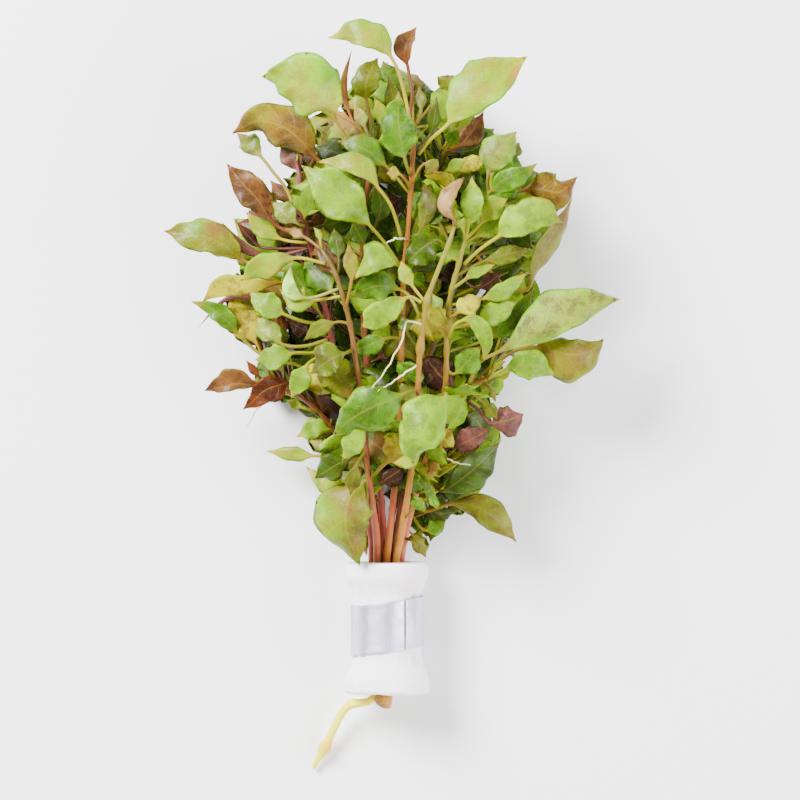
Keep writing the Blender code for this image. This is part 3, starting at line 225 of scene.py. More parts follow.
# Slot in the sleeve (steps across, steps up), then the run above the sleeve and the run
# below it as (picture x, picture y, height in millimetres).
STEMS = {
    "stem_front": ((1.0, 1.0), [
        (402, 530, 20), (410, 480, 31), (416, 430, 41), (418, 390, 47), (420, 350, 50),
        (424, 322, 52), (427, 300, 53), (439, 268, 54), (449, 243, 54), (455, 225, 53)], []),
    "stem_right_tall": ((1.5, 0.0), [
        (406, 530, 14.5), (420, 480, 21), (436, 430, 30), (445, 391, 37), (447, 330, 43),
        (451, 293, 45), (459, 263, 46), (466, 237, 46)], []),
    "stem_crown": ((0.0, 1.0), [
        (390, 530, 19), (396, 470, 25), (400, 400, 30), (402, 330, 34), (404, 270, 38),
        (408, 230, 42), (411, 190, 45), (413, 150, 45), (414, 120, 43)],
        [(386, 696, 15.2), (383, 701, 15.4), (380, 706, 15.4)]),
    "stem_upper_left": ((-0.5, 0.0), [
        (383, 530, 13.5), (378, 470, 17), (370, 400, 23), (364, 330, 28), (362, 270, 32),
        (364, 215, 35), (371, 170, 37), (377, 144, 37)], []),
    "stem_left": ((-1.5, 0.0), [
        (371, 530, 14), (360, 470, 20), (345, 400, 27), (330, 330, 32), (317, 270, 35),
        (306, 230, 36), (299, 203, 36), (300, 180, 35), (296, 160, 34)], []),
    "stem_centre_left": ((-1.0, 1.0), [
        (376, 530, 20), (369, 480, 30), (361, 400, 41), (352, 335, 46), (344, 300, 47),
        (334, 270, 46), (320, 247, 44)], []),
    "stem_low_left": ((-1.0, -1.0), [
        (372, 530, 9.6), (361, 490, 10.5), (347, 450, 13.5), (325, 418, 18), (303, 398, 21),
        (285, 389, 22), (270, 388, 22)],
        [(376, 694, 9.8), (369, 701, 9.4), (360, 703, 8.8), (351, 704, 8.0), (344, 710, 7.0),
         (337, 722, 5.4), (326, 745, 3.3), (313, 768, 1.6)]),
    "stem_right": ((1.0, -1.0), [
        (402, 530, 9.8), (418, 490, 13), (438, 448, 18), (455, 411, 24), (471, 388, 30),
        (492, 375, 34)], []),
    "stem_low_centre": ((0.0, -1.0), [
        (390, 530, 8.8), (396, 480, 8), (404, 400, 10), (412, 320, 13), (424, 240, 18),
        (436, 185, 25), (442, 148, 30)], []),
    "stem_upper_right": ((0.5, 0.0), [
        (397, 530, 13), (405, 480, 15.5), (418, 400, 21), (438, 330, 27), (462, 270, 32),
        (482, 225, 34), (493, 192, 36)], []),
}
# Thickened places on a stem: (stem, picture x, picture y, extra radius)
NODES = [
    ("stem_front", 427, 300, 0.5), ("stem_front", 420, 346, 0.6),
    ("stem_low_left", 324, 748, 0.75), ("stem_low_left", 352, 704, 0.3),
    ("stem_crown", 380, 707, 1.7), ("stem_crown", 383, 703, 0.4),
    ("stem_right", 455, 411, 0.3), ("stem_left", 299, 203, 0.3),
]

# Each leaf: stem, picture point on the stem, place of the blade's first point in the
# list, midrib points in the picture, heights (blade foot, blade middle, tip), projected
# half widths in picture elements (left and right of the way from foot to tip), rise of
# the two margins over the midrib, widest place along the blade, colour.
LEAVES = {
    # lowest layer, on the surface
    "leaf_floor_a": ("stem_low_left", (325, 418), 1, [(330, 392), (322, 370), (306, 330), (296, 296)],
                     (5, 1, 1), (20, 20), (-1, -1), 0.42, "deep"),
    "leaf_floor_b": ("stem_low_centre", (400, 440), 1, [(386, 400), (374, 372), (352, 330), (338, 290)],
                     (4, 1, 1), (20, 19), (-1, -1), 0.42, "green"),
    "leaf_floor_c": ("stem_low_centre", (408, 350), 1, [(424, 330), (440, 312), (462, 282), (484, 250)],
                     (5, 1, 1), (20, 20), (-1, -1), 0.42, "deep"),
    "leaf_floor_d": ("stem_low_centre", (418, 280), 1, [(404, 262), (392, 240), (372, 200), (360, 160)],
                     (6, 1, 1), (19, 20), (-1, -1), 0.42, "green"),
    # left side
    "leaf_lower_left": ("stem_centre_left", (372, 500), 0, [(363, 490), (350, 508), (347, 531), (360, 567)],
                        (31, 33, 27), (18, 30), (-2, -6), 0.42, "khaki"),
    "leaf_tan_right": ("stem_right", (412, 503), 1,
                       [(428, 511), (445, 505), (465, 504), (485, 511), (502, 525), (517, 543)],
                       (19, 23, 17), (15, 13), (-1, -2), 0.5, "khaki"),
    "leaf_gloss_right": ("stem_right", (428, 470), 0, [(440, 491), (460, 480), (480, 463), (500, 442)],
                         (25, 30, 28), (14, 20), (2, -3), 0.5, "green"),
    "leaf_brown_left": ("stem_low_left", (272, 388), 0,
                        [(262, 387), (250, 385), (236, 384), (222, 387), (204, 391)],
                        (25, 27, 22), (6, 14), (0, 2), 0.5, "russet"),
    "leaf_red_left": ("stem_low_left", (302, 397), 0,
                      [(290, 384), (276, 386), (264, 391), (252, 402), (242, 410)],
                      (26, 28, 24), (14, 11), (0, 1), 0.3, "red"),
    "leaf_green_left": ("stem_left", (342, 388), 3,
                        [(300, 366), (274, 361), (256, 351), (240, 336), (227, 321), (212, 309), (190, 301)],
                        (24, 25, 22), (9, 10), (0, 1), 0.4, "green"),
    "leaf_yellow_left": ("stem_left", (322, 292), 1,
                         [(302, 287), (284, 283), (262, 286), (240, 287), (220, 290), (202, 302)],
                         (33, 34, 28), (8, 13), (-1, 1), 0.6, "yellow"),
    "leaf_far_left": ("stem_left", (317, 272), 1,
                      [(282, 270), (246, 262), (226, 247), (206, 237), (187, 235), (163, 231)],
                      (33, 37, 33), (15, 18), (-1, 1), 0.5, "khaki"),
    "leaf_pale_left": ("stem_left", (301, 210), 2,
                       [(287, 190), (273, 172), (263, 159), (251, 146), (237, 133)],
                       (33, 32, 28), (9, 11), (0, 0), 0.5, "sage"),
    "leaf_russet_left": ("stem_left", (307, 236), 1,
                         [(289, 232), (272, 222), (258, 200), (242, 183), (226, 163)],
                         (36, 40, 38), (14, 17), (1, 1), 0.42, "russet"),
    "leaf_amber_left": ("stem_upper_left", (367, 192), 1,
                        [(342, 177), (318, 160), (303, 143), (283, 127), (258, 121), (231, 134)],
                        (37, 40, 34), (20, 22), (-3, -1), 0.42, "amber"),
    "leaf_veined_left": ("stem_left", (331, 336), 1, [(306, 346), (284, 345), (270, 332), (256, 317)],
                         (34, 35, 31), (11, 11), (0, 0), 0.5, "sage"),
    "leaf_green_round": ("stem_left", (328, 322), 1, [(306, 322), (286, 315), (267, 305), (249, 292)],
                         (37, 39, 36), (12, 13), (0, 0), 0.45, "bright"),
    "leaf_bright_left": ("stem_left", (336, 350), 1, [(313, 353), (295, 353), (276, 357), (255, 360)],
                         (37, 39, 35), (12, 12), (0, 0), 0.5, "bright"),
    "leaf_olive_round": ("stem_centre_left", (330, 262), 0, [(300, 258), (280, 261), (262, 267), (240, 281)],
                         (41, 43, 39), (12, 12), (0, 0), 0.55, "lime"),
    "leaf_hook_left": ("stem_left", (338, 360), 1, [(323, 357), (308, 364), (299, 380), (291, 399)],
                       (40, 42, 38), (11, 9), (0, 0), 0.4, "bright"),
    "leaf_olive_broad": ("stem_centre_left", (355, 352), 0, [(346, 353), (331, 359), (311, 374)],
                         (49, 51, 46), (14, 17), (0, 0), 0.4, "olive"),
    # upper part
    "leaf_big_upper_left": ("stem_upper_left", (376, 150), 1,
                            [(358, 127), (338, 113), (318, 99), (297, 86), (261, 76)],
                            (43, 48, 42), (23, 37), (-3, 1), 0.38, "lime"),
    "leaf_olive_top": ("stem_upper_left", (377, 146), 1, [(371, 122), (367, 102), (366, 82), (378, 57)],
                       (38, 41, 38), (14, 13), (0, 0), 0.45, "olive"),
    "leaf_top": ("stem_crown", (414, 124), 1, [(403, 88), (393, 60), (374, 42), (352, 36), (327, 38)],
                 (45, 48, 42), (8, 19), (0, -2), 0.42, "lime"),
    "leaf_top_russet": ("stem_crown", (414, 122), 1, [(412, 95), (408, 68), (405, 48), (417, 26)],
                        (46, 48, 44), (11, 6), (0, 2), 0.45, "russet"),
    "leaf_spear": ("stem_crown", (412, 172), 0, [(405, 160), (401, 140), (398, 118), (399, 91)],
                   (50, 53, 50), (19, 16), (-1, -1), 0.33, "bright"),
    "leaf_long_petiole": ("stem_crown", (407, 240), 2,
                          [(398, 226), (391, 206), (380, 190), (365, 174), (345, 165), (316, 162)],
                          (50, 52, 47), (6, 16), (0, -1), 0.42, "lime"),
    "leaf_centre_left": ("stem_crown", (403, 262), 1,
                         [(384, 242), (371, 227), (352, 206), (335, 190), (318, 177), (301, 165)],
                         (48, 54, 50), (23, 19), (-1, 1), 0.45, "bright"),
    "leaf_upper_right": ("stem_crown", (413, 154), 1,
                         [(430, 140), (446, 126), (468, 103), (495, 82), (528, 56)],
                         (44, 48, 44), (32, 17), (-2, 0), 0.45, "lime"),
    "leaf_round_right": ("stem_upper_right", (492, 194), 0, [(488, 177), (494, 158), (503, 145), (517, 131)],
                         (41, 44, 42), (17, 17), (-1, -1), 0.5, "sage"),
    "leaf_green_right": ("stem_upper_right", (489, 207), 0, [(489, 194), (503, 180), (520, 173), (538, 163)],
                         (42, 45, 42), (8, 14), (0, 0), 0.4, "green"),
    "leaf_amber_right": ("stem_upper_right", (491, 200), 1,
                         [(507, 196), (521, 191), (540, 189), (560, 192), (578, 176)],
                         (38, 41, 38), (17, 17), (-1, -3), 0.42, "amber"),
    "leaf_edge_right": ("stem_upper_right", (470, 253), 1,
                        [(504, 285), (527, 290), (536, 266), (549, 240), (564, 216), (573, 196)],
                        (33, 35, 34), (8, 9), (2, -5), 0.5, "purple"),
    "leaf_broad_right": ("stem_right_tall", (460, 262), 1,
                         [(478, 251), (496, 238), (517, 225), (540, 216), (563, 223)],
                         (49, 53, 47), (22, 13), (-1, -1), 0.45, "bright"),
    "leaf_upright_right": ("stem_right_tall", (465, 240), 0, [(468, 227), (472, 205), (472, 176)],
                           (50, 54, 52), (11, 11), (0, 1), 0.45, "bright"),
    "leaf_pink_fold": ("stem_front", (455, 228), 0, [(457, 217), (447, 204), (457, 178)],
                       (56, 58, 55), (13, 9), (-2, 0), 0.4, "pink"),
    # middle
    "leaf_yellow_centre": ("stem_crown", (404, 272), 0, [(397, 265), (384, 261), (370, 266), (354, 280)],
                           (50, 55, 51), (8, 21), (-1, -3), 0.4, "bright"),
    "leaf_green_centre": ("stem_front", (424, 320), 1, [(412, 300), (401, 290), (376, 286), (351, 297)],
                          (47, 49, 46), (15, 15), (0, 0), 0.45, "green"),
    "leaf_spoon_centre": ("stem_front", (427, 302), 0, [(410, 297), (397, 303), (381, 313), (361, 328)],
                          (53, 56, 51), (14, 12), (0, 0), 0.6, "bright"),
    "leaf_curl_right": ("stem_right_tall", (447, 340), 0,
                        [(456, 324), (471, 320), (483, 331), (486, 346), (483, 362)],
                        (49, 53, 47), (8, 8), (0, -1), 0.5, "bright"),
    "leaf_veined_right": ("stem_right", (474, 386), 0,
                          [(480, 362), (505, 349), (530, 336), (552, 324), (576, 312), (598, 303),
                           (621, 299)],
                          (36, 43, 38), (29, 14), (-2, -1), (0.6, 2.4, 1.1), "sage"),
    "leaf_veined_brown": ("stem_right", (484, 378), 1,
                          [(506, 356), (530, 347), (552, 351), (575, 354), (592, 350), (604, 338)],
                          (34, 37, 33), (15, 28), (-1, -3), 0.5, "khaki"),
    "leaf_bright_right": ("stem_right", (490, 376), 0, [(502, 371), (518, 366), (536, 366), (556, 376)],
                          (38, 41, 36), (15, 13), (0, -1), 0.5, "bright"),
    "leaf_purple_right": ("stem_right", (464, 398), 1,
                          [(479, 410), (489, 423), (500, 422), (512, 419), (524, 414)],
                          (29, 30, 28), (15, 16), (-1, -1), 0.5, "purple"),
    "leaf_front_big": ("stem_right_tall", (446, 388), 0,
                       [(446, 396), (436, 408), (424, 428), (416, 446), (413, 465)],
                       (50, 57, 49), (20, 27), (-2, -2), 0.42, "bright"),
    "leaf_gloss_front": ("stem_front", (418, 392), 0,
                         [(406, 393), (390, 400), (370, 408), (350, 420), (333, 435)],
                         (52, 55, 48), (26, 20), (-3, -1), 0.45, "green"),
}
# Small leaves, one body with the stem that they grow from: picture point on the stem, midrib
# points in the picture, heights, half widths in picture elements, colour.
SMALL_LEAVES = {
    "stem_crown": [
        ((414, 126), [(421, 112), (419, 86)], (42, 41, 40), (6, 6), "olive"),
        ((413, 150), [(428, 138), (434, 120), (437, 95)], (41, 42, 41), (7, 6), "deep"),
        ((411, 186), [(424, 164), (438, 174)], (52, 54, 51), (9, 9), "khaki"),
        ((411, 190), [(401, 175), (386, 173)], (52, 53, 50), (7, 7), "khaki"),
        ((405, 262), [(420, 232), (427, 205), (423, 180)], (43, 44, 42), (9, 10), "olive"),
        ((411, 196), [(388, 168), (362, 148), (337, 141)], (44, 46, 44), (12, 14), "green"),
        ((407, 238), [(398, 238), (386, 243)], (48, 51, 51), (1, 1), "root"),
        ((402, 340), [(388, 338), (374, 343), (348, 353)], (42, 43, 41), (10, 9), "green"),
        ((402, 330), [(412, 306), (416, 284)], (30, 26, 24), (10, 10), "plum"),
        ((413, 154), [(400, 152), (388, 152), (370, 162)], (36, 32, 28), (12, 12), "deep"),
    ],
    "stem_front": [
        ((426, 304), [(414, 288), (405, 274), (401, 260)], (53, 53, 51), (7, 8), "lime"),
        ((417, 420), [(420, 450), (408, 461), (392, 463)], (44, 45, 43), (7, 8), "lime"),
        ((420, 348), [(408, 334), (402, 314)], (46, 44, 42), (7, 7), "deep"),
        ((449, 243), [(440, 224), (431, 214)], (46, 45, 43), (8, 8), "deep"),
        ((447, 248), [(438, 240), (424, 247), (405, 264)], (48, 48, 45), (17, 16), "deep"),
        ((422, 326), [(407, 321), (403, 338), (393, 358), (381, 376), (371, 389)],
         (54, 57, 56), (1, 1), "root"),
        ((419, 364), [(406, 373), (391, 383), (378, 391)], (50, 53, 56), (1, 1), "root"),
    ],
    "stem_right_tall": [
        ((466, 239), [(480, 224), (492, 208), (508, 198)], (48, 50, 48), (12, 12), "lime"),
        ((456, 276), [(482, 262), (508, 254), (531, 249)], (46, 46, 44), (8, 10), "olive"),
        ((453, 288), [(462, 282), (476, 271), (499, 262)], (46, 46, 44), (6, 7), "bright"),
        ((449, 305), [(478, 300), (504, 290), (529, 271)], (43, 43, 41), (8, 9), "bright"),
        ((448, 318), [(456, 314), (466, 306), (483, 297)], (48, 49, 47), (10, 11), "yellow"),
        ((447, 326), [(442, 312), (432, 293)], (48, 48, 46), (6, 6), "bright"),
        ((447, 332), [(474, 322), (492, 314), (518, 301)], (42, 43, 41), (10, 12), "bright"),
        ((446, 350), [(484, 340), (512, 322), (535, 286)], (36, 37, 35), (10, 9), "green"),
        ((446, 372), [(454, 374), (467, 362), (481, 346)], (40, 41, 40), (12, 13), "green"),
        ((414, 500), [(414, 494), (412, 484), (410, 466)], (27, 33, 34), (13, 12), "green"),
        ((403, 540), [(412, 541), (421, 554)], (17, 16, 13), (5, 5), "olive"),
        ((431, 444), [(440, 455), (452, 461), (471, 466)], (34, 36, 36), (1, 1), "root"),
    ],
    "stem_upper_left": [
        ((376, 148), [(384, 132), (383, 116), (374, 97)], (37, 38, 38), (8, 8), "lime"),
        ((377, 146), [(390, 124), (393, 100), (388, 74)], (34, 36, 36), (8, 7), "olive"),
        ((375, 152), [(366, 130), (354, 103)], (33, 32, 31), (6, 7), "mint"),
        ((370, 175), [(340, 128), (318, 92), (289, 56)], (31, 33, 35), (9, 9), "lime"),
        ((374, 160), [(353, 122), (344, 86), (352, 49)], (30, 33, 36), (5, 4), "russet"),
        ((362, 262), [(364, 246), (352, 221)], (38, 39, 38), (10, 9), "deep"),
        ((363, 240), [(376, 224), (381, 204), (374, 182)], (38, 40, 39), (10, 10), "deep"),
        ((364, 330), [(382, 320), (396, 312)], (26, 24, 22), (9, 9), "plum"),
        ((370, 400), [(384, 378), (390, 352)], (20, 17, 14), (10, 10), "deep"),
        ((371, 172), [(352, 160), (334, 152), (312, 148)], (28, 25, 23), (14, 14), "deep"),
    ],
    "stem_left": [
        ((299, 200), [(300, 174), (292, 156), (281, 137)], (33, 33, 31), (12, 11), "purple"),
        ((310, 244), [(284, 240), (263, 229), (245, 211)], (32, 33, 32), (9, 9), "lime"),
        ((312, 250), [(272, 256), (244, 247), (221, 221)], (30, 32, 33), (6, 5), "purple"),
        ((311, 247), [(264, 248), (248, 236), (235, 220)], (28, 30, 31), (5, 7), "plum"),
        ((305, 226), [(298, 224), (285, 214), (271, 201)], (40, 41, 39), (9, 12), "sage"),
        ((325, 312), [(288, 306), (250, 297), (224, 300), (197, 329)], (26, 24, 21), (4, 3), "purple"),
        ((320, 285), [(302, 262), (288, 238)], (28, 26, 25), (12, 12), "plum"),
        ((334, 342), [(310, 332), (288, 322)], (27, 25, 24), (9, 9), "plum"),
        ((307, 232), [(322, 226), (338, 222), (354, 214)], (27, 23, 20), (14, 14), "deep"),
        ((362, 478), [(352, 484), (330, 486), (305, 466)], (22, 24, 21), (9, 9), "lime"),
    ],
    "stem_centre_left": [
        ((322, 250), [(306, 238), (284, 228)], (42, 42, 41), (5, 6), "pink"),
        ((336, 276), [(339, 260), (334, 227)], (44, 44, 43), (9, 9), "deep"),
        ((346, 306), [(351, 284), (352, 266), (348, 242)], (50, 51, 49), (8, 8), "khaki"),
        ((343, 298), [(318, 300), (300, 300), (279, 289)], (42, 43, 40), (12, 12), "lime"),
        ((340, 288), [(310, 298), (290, 290), (291, 263)], (44, 45, 44), (7, 7), "mint"),
        ((350, 326), [(338, 322), (320, 328), (303, 341)], (43, 43, 40), (8, 8), "olive"),
        ((362, 415), [(365, 426), (357, 440), (342, 461)], (48, 49, 44), (9, 13), "bright"),
        ((366, 450), [(358, 462), (354, 476), (350, 496)], (38, 38, 34), (8, 8), "olive"),
        ((365, 440), [(350, 458), (336, 465), (314, 479)], (34, 34, 30), (13, 14), "deep"),
    ],
    "stem_low_left": [
        ((272, 388), [(260, 378), (246, 360)], (25, 26, 25), (5, 5), "red"),
        ((338, 436), [(331, 430), (316, 429), (296, 437)], (20, 22, 19), (9, 11), "bright"),
        ((318, 412), [(304, 408), (286, 400)], (23, 23, 21), (6, 6), "lime"),
        ((348, 454), [(318, 456), (288, 453), (265, 451)], (14, 13, 11), (8, 7), "lime"),
        ((306, 400), [(284, 372), (268, 340)], (12, 8, 7), (15, 15), "deep"),
        ((334, 430), [(318, 418), (308, 404), (302, 378)], (7, 4, 3), (12, 12), "deep"),
        ((287, 389), [(272, 399), (258, 408), (252, 418), (246, 429)], (18, 15, 12), (1, 1), "root"),
        ((355, 472), [(338, 470), (322, 462)], (6, 3, 2), (11, 11), "deep"),
    ],
    "stem_right": [
        ((470, 390), [(482, 402), (498, 420)], (32, 33, 31), (8, 7), "olive"),
        ((482, 382), [(490, 388), (496, 402)], (33, 33, 32), (4, 4), "olive"),
        ((438, 449), [(452, 447), (470, 440), (490, 428)], (25, 29, 30), (14, 12), "purple"),
        ((420, 486), [(436, 512), (456, 511)], (16, 16, 14), (6, 6), "deep"),
        ((410, 512), [(424, 530), (446, 521)], (12, 12, 10), (8, 8), "green"),
        ((434, 456), [(450, 474), (470, 478)], (8, 4, 3), (12, 12), "deep"),
        ((446, 430), [(466, 384), (488, 350), (514, 320)], (6, 2, 1), (16, 16), "deep"),
        ((438, 448), [(448, 462), (454, 482), (450, 506)], (10, 8, 6), (14, 14), "deep"),
        ((453, 415), [(466, 414), (478, 422), (488, 442)], (16, 12, 10), (13, 13), "deep"),
        ((416, 494), [(426, 506), (434, 520), (430, 542)], (7, 5, 4), (12, 12), "deep"),
    ],
    "stem_low_centre": [
        ((442, 152), [(456, 148), (470, 134), (484, 111)], (35, 37, 37), (9, 12), "russet"),
        ((441, 158), [(448, 148), (459, 126)], (32, 34, 34), (7, 7), "green"),
        ((437, 180), [(456, 172), (471, 164), (490, 157)], (33, 36, 37), (8, 9), "yellow"),
        ((437, 182), [(446, 172), (468, 158)], (38, 40, 41), (7, 6), "bright"),
        ((430, 212), [(446, 204), (462, 188)], (16, 13, 12), (13, 13), "deep"),
        ((434, 194), [(420, 176), (408, 140)], (16, 12, 10), (14, 14), "deep"),
        ((426, 232), [(404, 214), (388, 182)], (20, 22, 24), (12, 12), "deep"),
        ((410, 336), [(392, 320), (378, 300)], (16, 16, 17), (12, 12), "plum"),
        ((442, 152), [(456, 152), (472, 150), (488, 140)], (25, 23, 21), (14, 14), "deep"),
        ((441, 154), [(435, 138), (430, 120), (428, 98)], (24, 22, 20), (12, 12), "deep"),
    ],
    "stem_upper_right": [
        ((460, 275), [(478, 288), (502, 273)], (34, 34, 33), (9, 9), "plum"),
        ((478, 234), [(492, 240), (512, 236)], (26, 22, 20), (12, 12), "deep"),
        ((484, 218), [(470, 196), (462, 170)], (28, 28, 28), (12, 12), "deep"),
        ((446, 312), [(470, 318), (492, 312)], (22, 20, 19), (12, 12), "deep"),
        ((418, 400), [(426, 378), (434, 352)], (22, 23, 22), (10, 10), "plum"),
        ((438, 332), [(428, 352), (432, 372)], (24, 24, 22), (8, 8), "green"),
        ((437, 334), [(447, 344), (456, 356), (462, 378)], (19, 15, 12), (14, 14), "deep"),
        ((464, 266), [(482, 268), (502, 268), (526, 260)], (23, 19, 17), (15, 15), "deep"),
        ((483, 222), [(500, 228), (514, 232), (534, 250)], (27, 24, 22), (11, 11), "deep"),
    ],
}

# Leaves that fill the inside of the bunch: pairs on opposite sides of a stem, each pair
# a quarter turn from the last, kept inside this outline of the foliage in the picture.
FOLIAGE = [
    (300, 172), (320, 150), (345, 122), (366, 112), (384, 96), (398, 74), (410, 96), (438, 112),
    (470, 120), (484, 168), (500, 208), (540, 216), (530, 250), (524, 290), (505, 338),
    (478, 392), (468, 430), (488, 452), (470, 490), (430, 518), (416, 545), (372, 548),
    (334, 530), (326, 500), (322, 470), (332, 440), (300, 420), (288, 392), (262, 392),
    (258, 352), (252, 300), (244, 272), (252, 246), (274, 216), (300, 204),
]
FILL_SEED = 11
FILL_SPACING = 7.6
FILL_LENGTH = (14.0, 25.0)
FILL_WIDTH = 0.27
FILL_TOP = 36.0
FILL_LIMIT = 90
FILL_START = 12.0      # millimetres from the sleeve to the first pair
FILL_END = 4           # millimetres that stay free at the growing tip
FILL_FLAT = 0.8        # how flat the ring of directions round a stem is
FILL_STEEPEST = 0.45
FILL_DROOP = 3.0
FILL_LIFTS = (0.0, -1.5, 1.5, -3.0, 3.0)
FILL_TONES = ("deep", "green", "deep", "olive", "plum")

# Cross-sections of the shapes that are tested for room: stalk (0) or blade (1), and the share of it.
BLADE_SHARES = [(1, 0.0), (1, 0.15), (1, 0.32), (1, 0.50), (1, 0.68), (1, 0.85)]
SMALL_SHARES = [(0, 0.0), (1, 0.16), (1, 0.42), (1, 0.76)]
FILL_SHARES = [(0, 0.0), (1, 0.26), (1, 0.66)]
ROOT_SHARES = [(0, 0.0), (1, 0.0), (1, 0.25), (1, 0.5), (1, 0.75)]
YOUNG_SHARES = [(0, 0.0), (0, 0.5), (1, 0.0), (1, 0.2), (1, 0.5), (1, 0.78)]

# Faces round a leaf, its rings along the stalk (0) and the blade (1), and how slim its stalk is.
LARGE_FORM = (24, [(0, k / 9) for k in range(9)] + [(1, k / 26) for k in range(26)], 0.8)
SMALL_FORM = (16, [(0, k / 5) for k in range(5)] + [(1, k / 15) for k in range(15)], 0.72)
YOUNG_FORM = (6, [(0, 0.0)] + [(1, t) for t in (0.0, 0.1, 0.25, 0.45, 0.65, 0.83, 0.95)], 0.6)
ROOT_FORM = [(0, 0.0), (0, 0.5)] + [(1, k / 22) for k in range(22)]
# Leaves whose blade the eye sees a little different from its solid: path, widths and belly.
SHOWN = {
    "leaf_pink_fold": ([(455, 221), (445, 208), (450, 192), (464, 177)], (8, 7), (0.45, 0.7, 0.55)),
    "leaf_lower_left": ([(366, 480), (350, 497), (346, 528), (360, 566)], (25, 31), 0.42),
}
SHOWN_TONES = {"leaf_edge_right": "khaki", "leaf_spear": "green", "leaf_gloss_right": "deep"}
# Small leaves set one by one where the picture shows them: stem, place on it, path, heights, widths, tone.
CHOSEN = (
    ("stem_low_left", (352, 468), [(358, 478), (368, 505), (380, 550)], (5, 4, 2), (15, 14), "plum"),
    ("stem_right", (410, 512), [(418, 521), (427, 530), (440, 520)], (12, 13, 12), (7, 7), "deep"),
    ("stem_right", (404, 524), [(409, 531), (419, 543), (426, 558)], (9, 9, 6), (9, 8), "khaki"),
    ("stem_low_centre", (395, 490), [(404, 500), (417, 518), (421, 540)], (3, 3, 2), (10, 9), "green"),
    ("stem_low_left", (366, 508), [(361, 516), (361, 532), (367, 556)], (7, 6, 4), (8, 8), "khaki"),
    ("stem_low_left", (358, 485), [(362, 496), (372, 512), (374, 546)], (6, 5, 4), (9, 9), "plum"),
    ("stem_centre_left", (370, 486), [(366, 470), (352, 462), (334, 470)], (32, 34, 31), (10, 12), "olive"),
    ("stem_left", (352, 430), [(338, 440), (324, 446), (308, 440)], (22, 24, 21), (7, 8), "sage"),
    ("stem_upper_left", (371, 170), [(358, 160), (346, 151), (333, 136)], (30, 31, 28), (7, 7), "khaki"),
    ("stem_left", (303, 222), [(296, 205), (284, 196), (270, 180)], (30, 31, 27), (8, 8), "russet"),
    ("stem_left", (318, 275), [(300, 262), (284, 252), (262, 240)], (28, 29, 26), (9, 9), "amber"),
    ("stem_left", (318, 275), [(296, 268), (276, 262), (256, 262)], (22, 22, 19), (9, 8), "plum"),
)
CHOSEN_TRIES = 40
CHOSEN_STEP = 0.6      # millimetres that a listed leaf moves up or down at each try
# Leaves wanted over each cell, their heights, lengths and tones, and their tones on the left side.
YOUNG_LAYERS = (
    (1, (22.0, 46.0), (15.0, 26.0), ("bright", "green", "lime", "yellow", "bright", "green", "bright"),
     ("khaki", "bright", "amber", "green", "russet", "yellow", "bright")),
    (1, (3.0, 40.0), (8.0, 20.0), ("green", "bright", "deep", "bright", "green", "khaki"),
     ("olive", "amber", "green", "russet", "green", "purple", "khaki")),
    (2, (12.0, 44.0), (12.0, 22.0), ("green", "bright", "bright", "khaki"),
     ("olive", "amber", "green", "khaki", "bright", "purple")),
    (2, (3.0, 30.0), (8.0, 16.0), ("deep", "olive", "green", "green"),
     ("olive", "plum", "green", "red")),
)
# Outline of the close foliage in the picture.
YOUNG_OUTLINE = [
    (345, 100), (360, 66), (385, 60), (402, 70), (418, 75), (436, 80), (452, 74), (470, 78), (480, 95),
    (478, 115), (500, 130), (520, 140), (522, 165), (545, 175), (570, 185), (565, 215), (550, 240),
    (540, 265), (530, 285), (536, 300), (528, 330), (512, 350), (505, 372), (480, 392), (494, 408),
    (508, 422), (496, 440), (492, 470), (480, 500), (455, 512), (438, 530), (424, 536), (412, 520),
    (400, 500), (375, 500), (362, 530), (345, 540), (325, 520), (318, 495), (335, 470), (318, 468),
    (312, 445), (300, 420),
    (290, 400), (268, 392), (252, 372), (262, 352), (248, 340), (236, 310), (222, 295), (236, 270),
    (230, 255), (242, 235), (232, 218), (250, 210), (262, 192), (280, 205), (292, 200), (300, 172),
    (318, 156), (325, 128), (340, 115),
]
# Places that stay open to the stems and the floor: picture x, y and reach.
OPENINGS = (
    (515, 192, 6), (492, 365, 7), (463, 413, 8), (284, 178, 10), (349, 84, 7), (318, 143, 8),
    (425, 300, 14), (412, 215, 12), (450, 345, 10), (380, 456, 10), (392, 495, 22), (400, 530, 24),
)
YOUNG_SEED = 5
YOUNG_REACH = 30.0     # farthest that such a leaf reaches from its stem
YOUNG_TOP = 48.0
YOUNG_LIMIT = 460
YOUNG_TRIES = 6
YOUNG_NEAR = 6         # number of best places on the stems that one is drawn from
YOUNG_TOUCH = 0.8      # share of a small blade's width that stays clear of all others
YOUNG_THIN = 0.5       # share of its thickness that stays clear
YOUNG_ANGLE = 0.8      # angle to the stem at which a leaf grows most willingly
YOUNG_BEND = 9.0       # how many millimetres of distance a radian away from it costs
YOUNG_SPARSE = 3       # a second layer looks at one cell in this many
NO_PLACE = 1e6
LEFT_SIDE = 335        # picture x; left of it the leaves are browner
CELL = 4.0             # picture elements to a cell of the count of leaves
OPEN_ROOF = 99.0
TIP_PAIR = ((0.8, 0.7), (3.4, 1.9), (6.4, 1.6))   # path of a tip leaf: ahead and to its side
TIP_WIDTH = 5.0
TIP_HIGH = 20          # growing tips above this height have green leaves

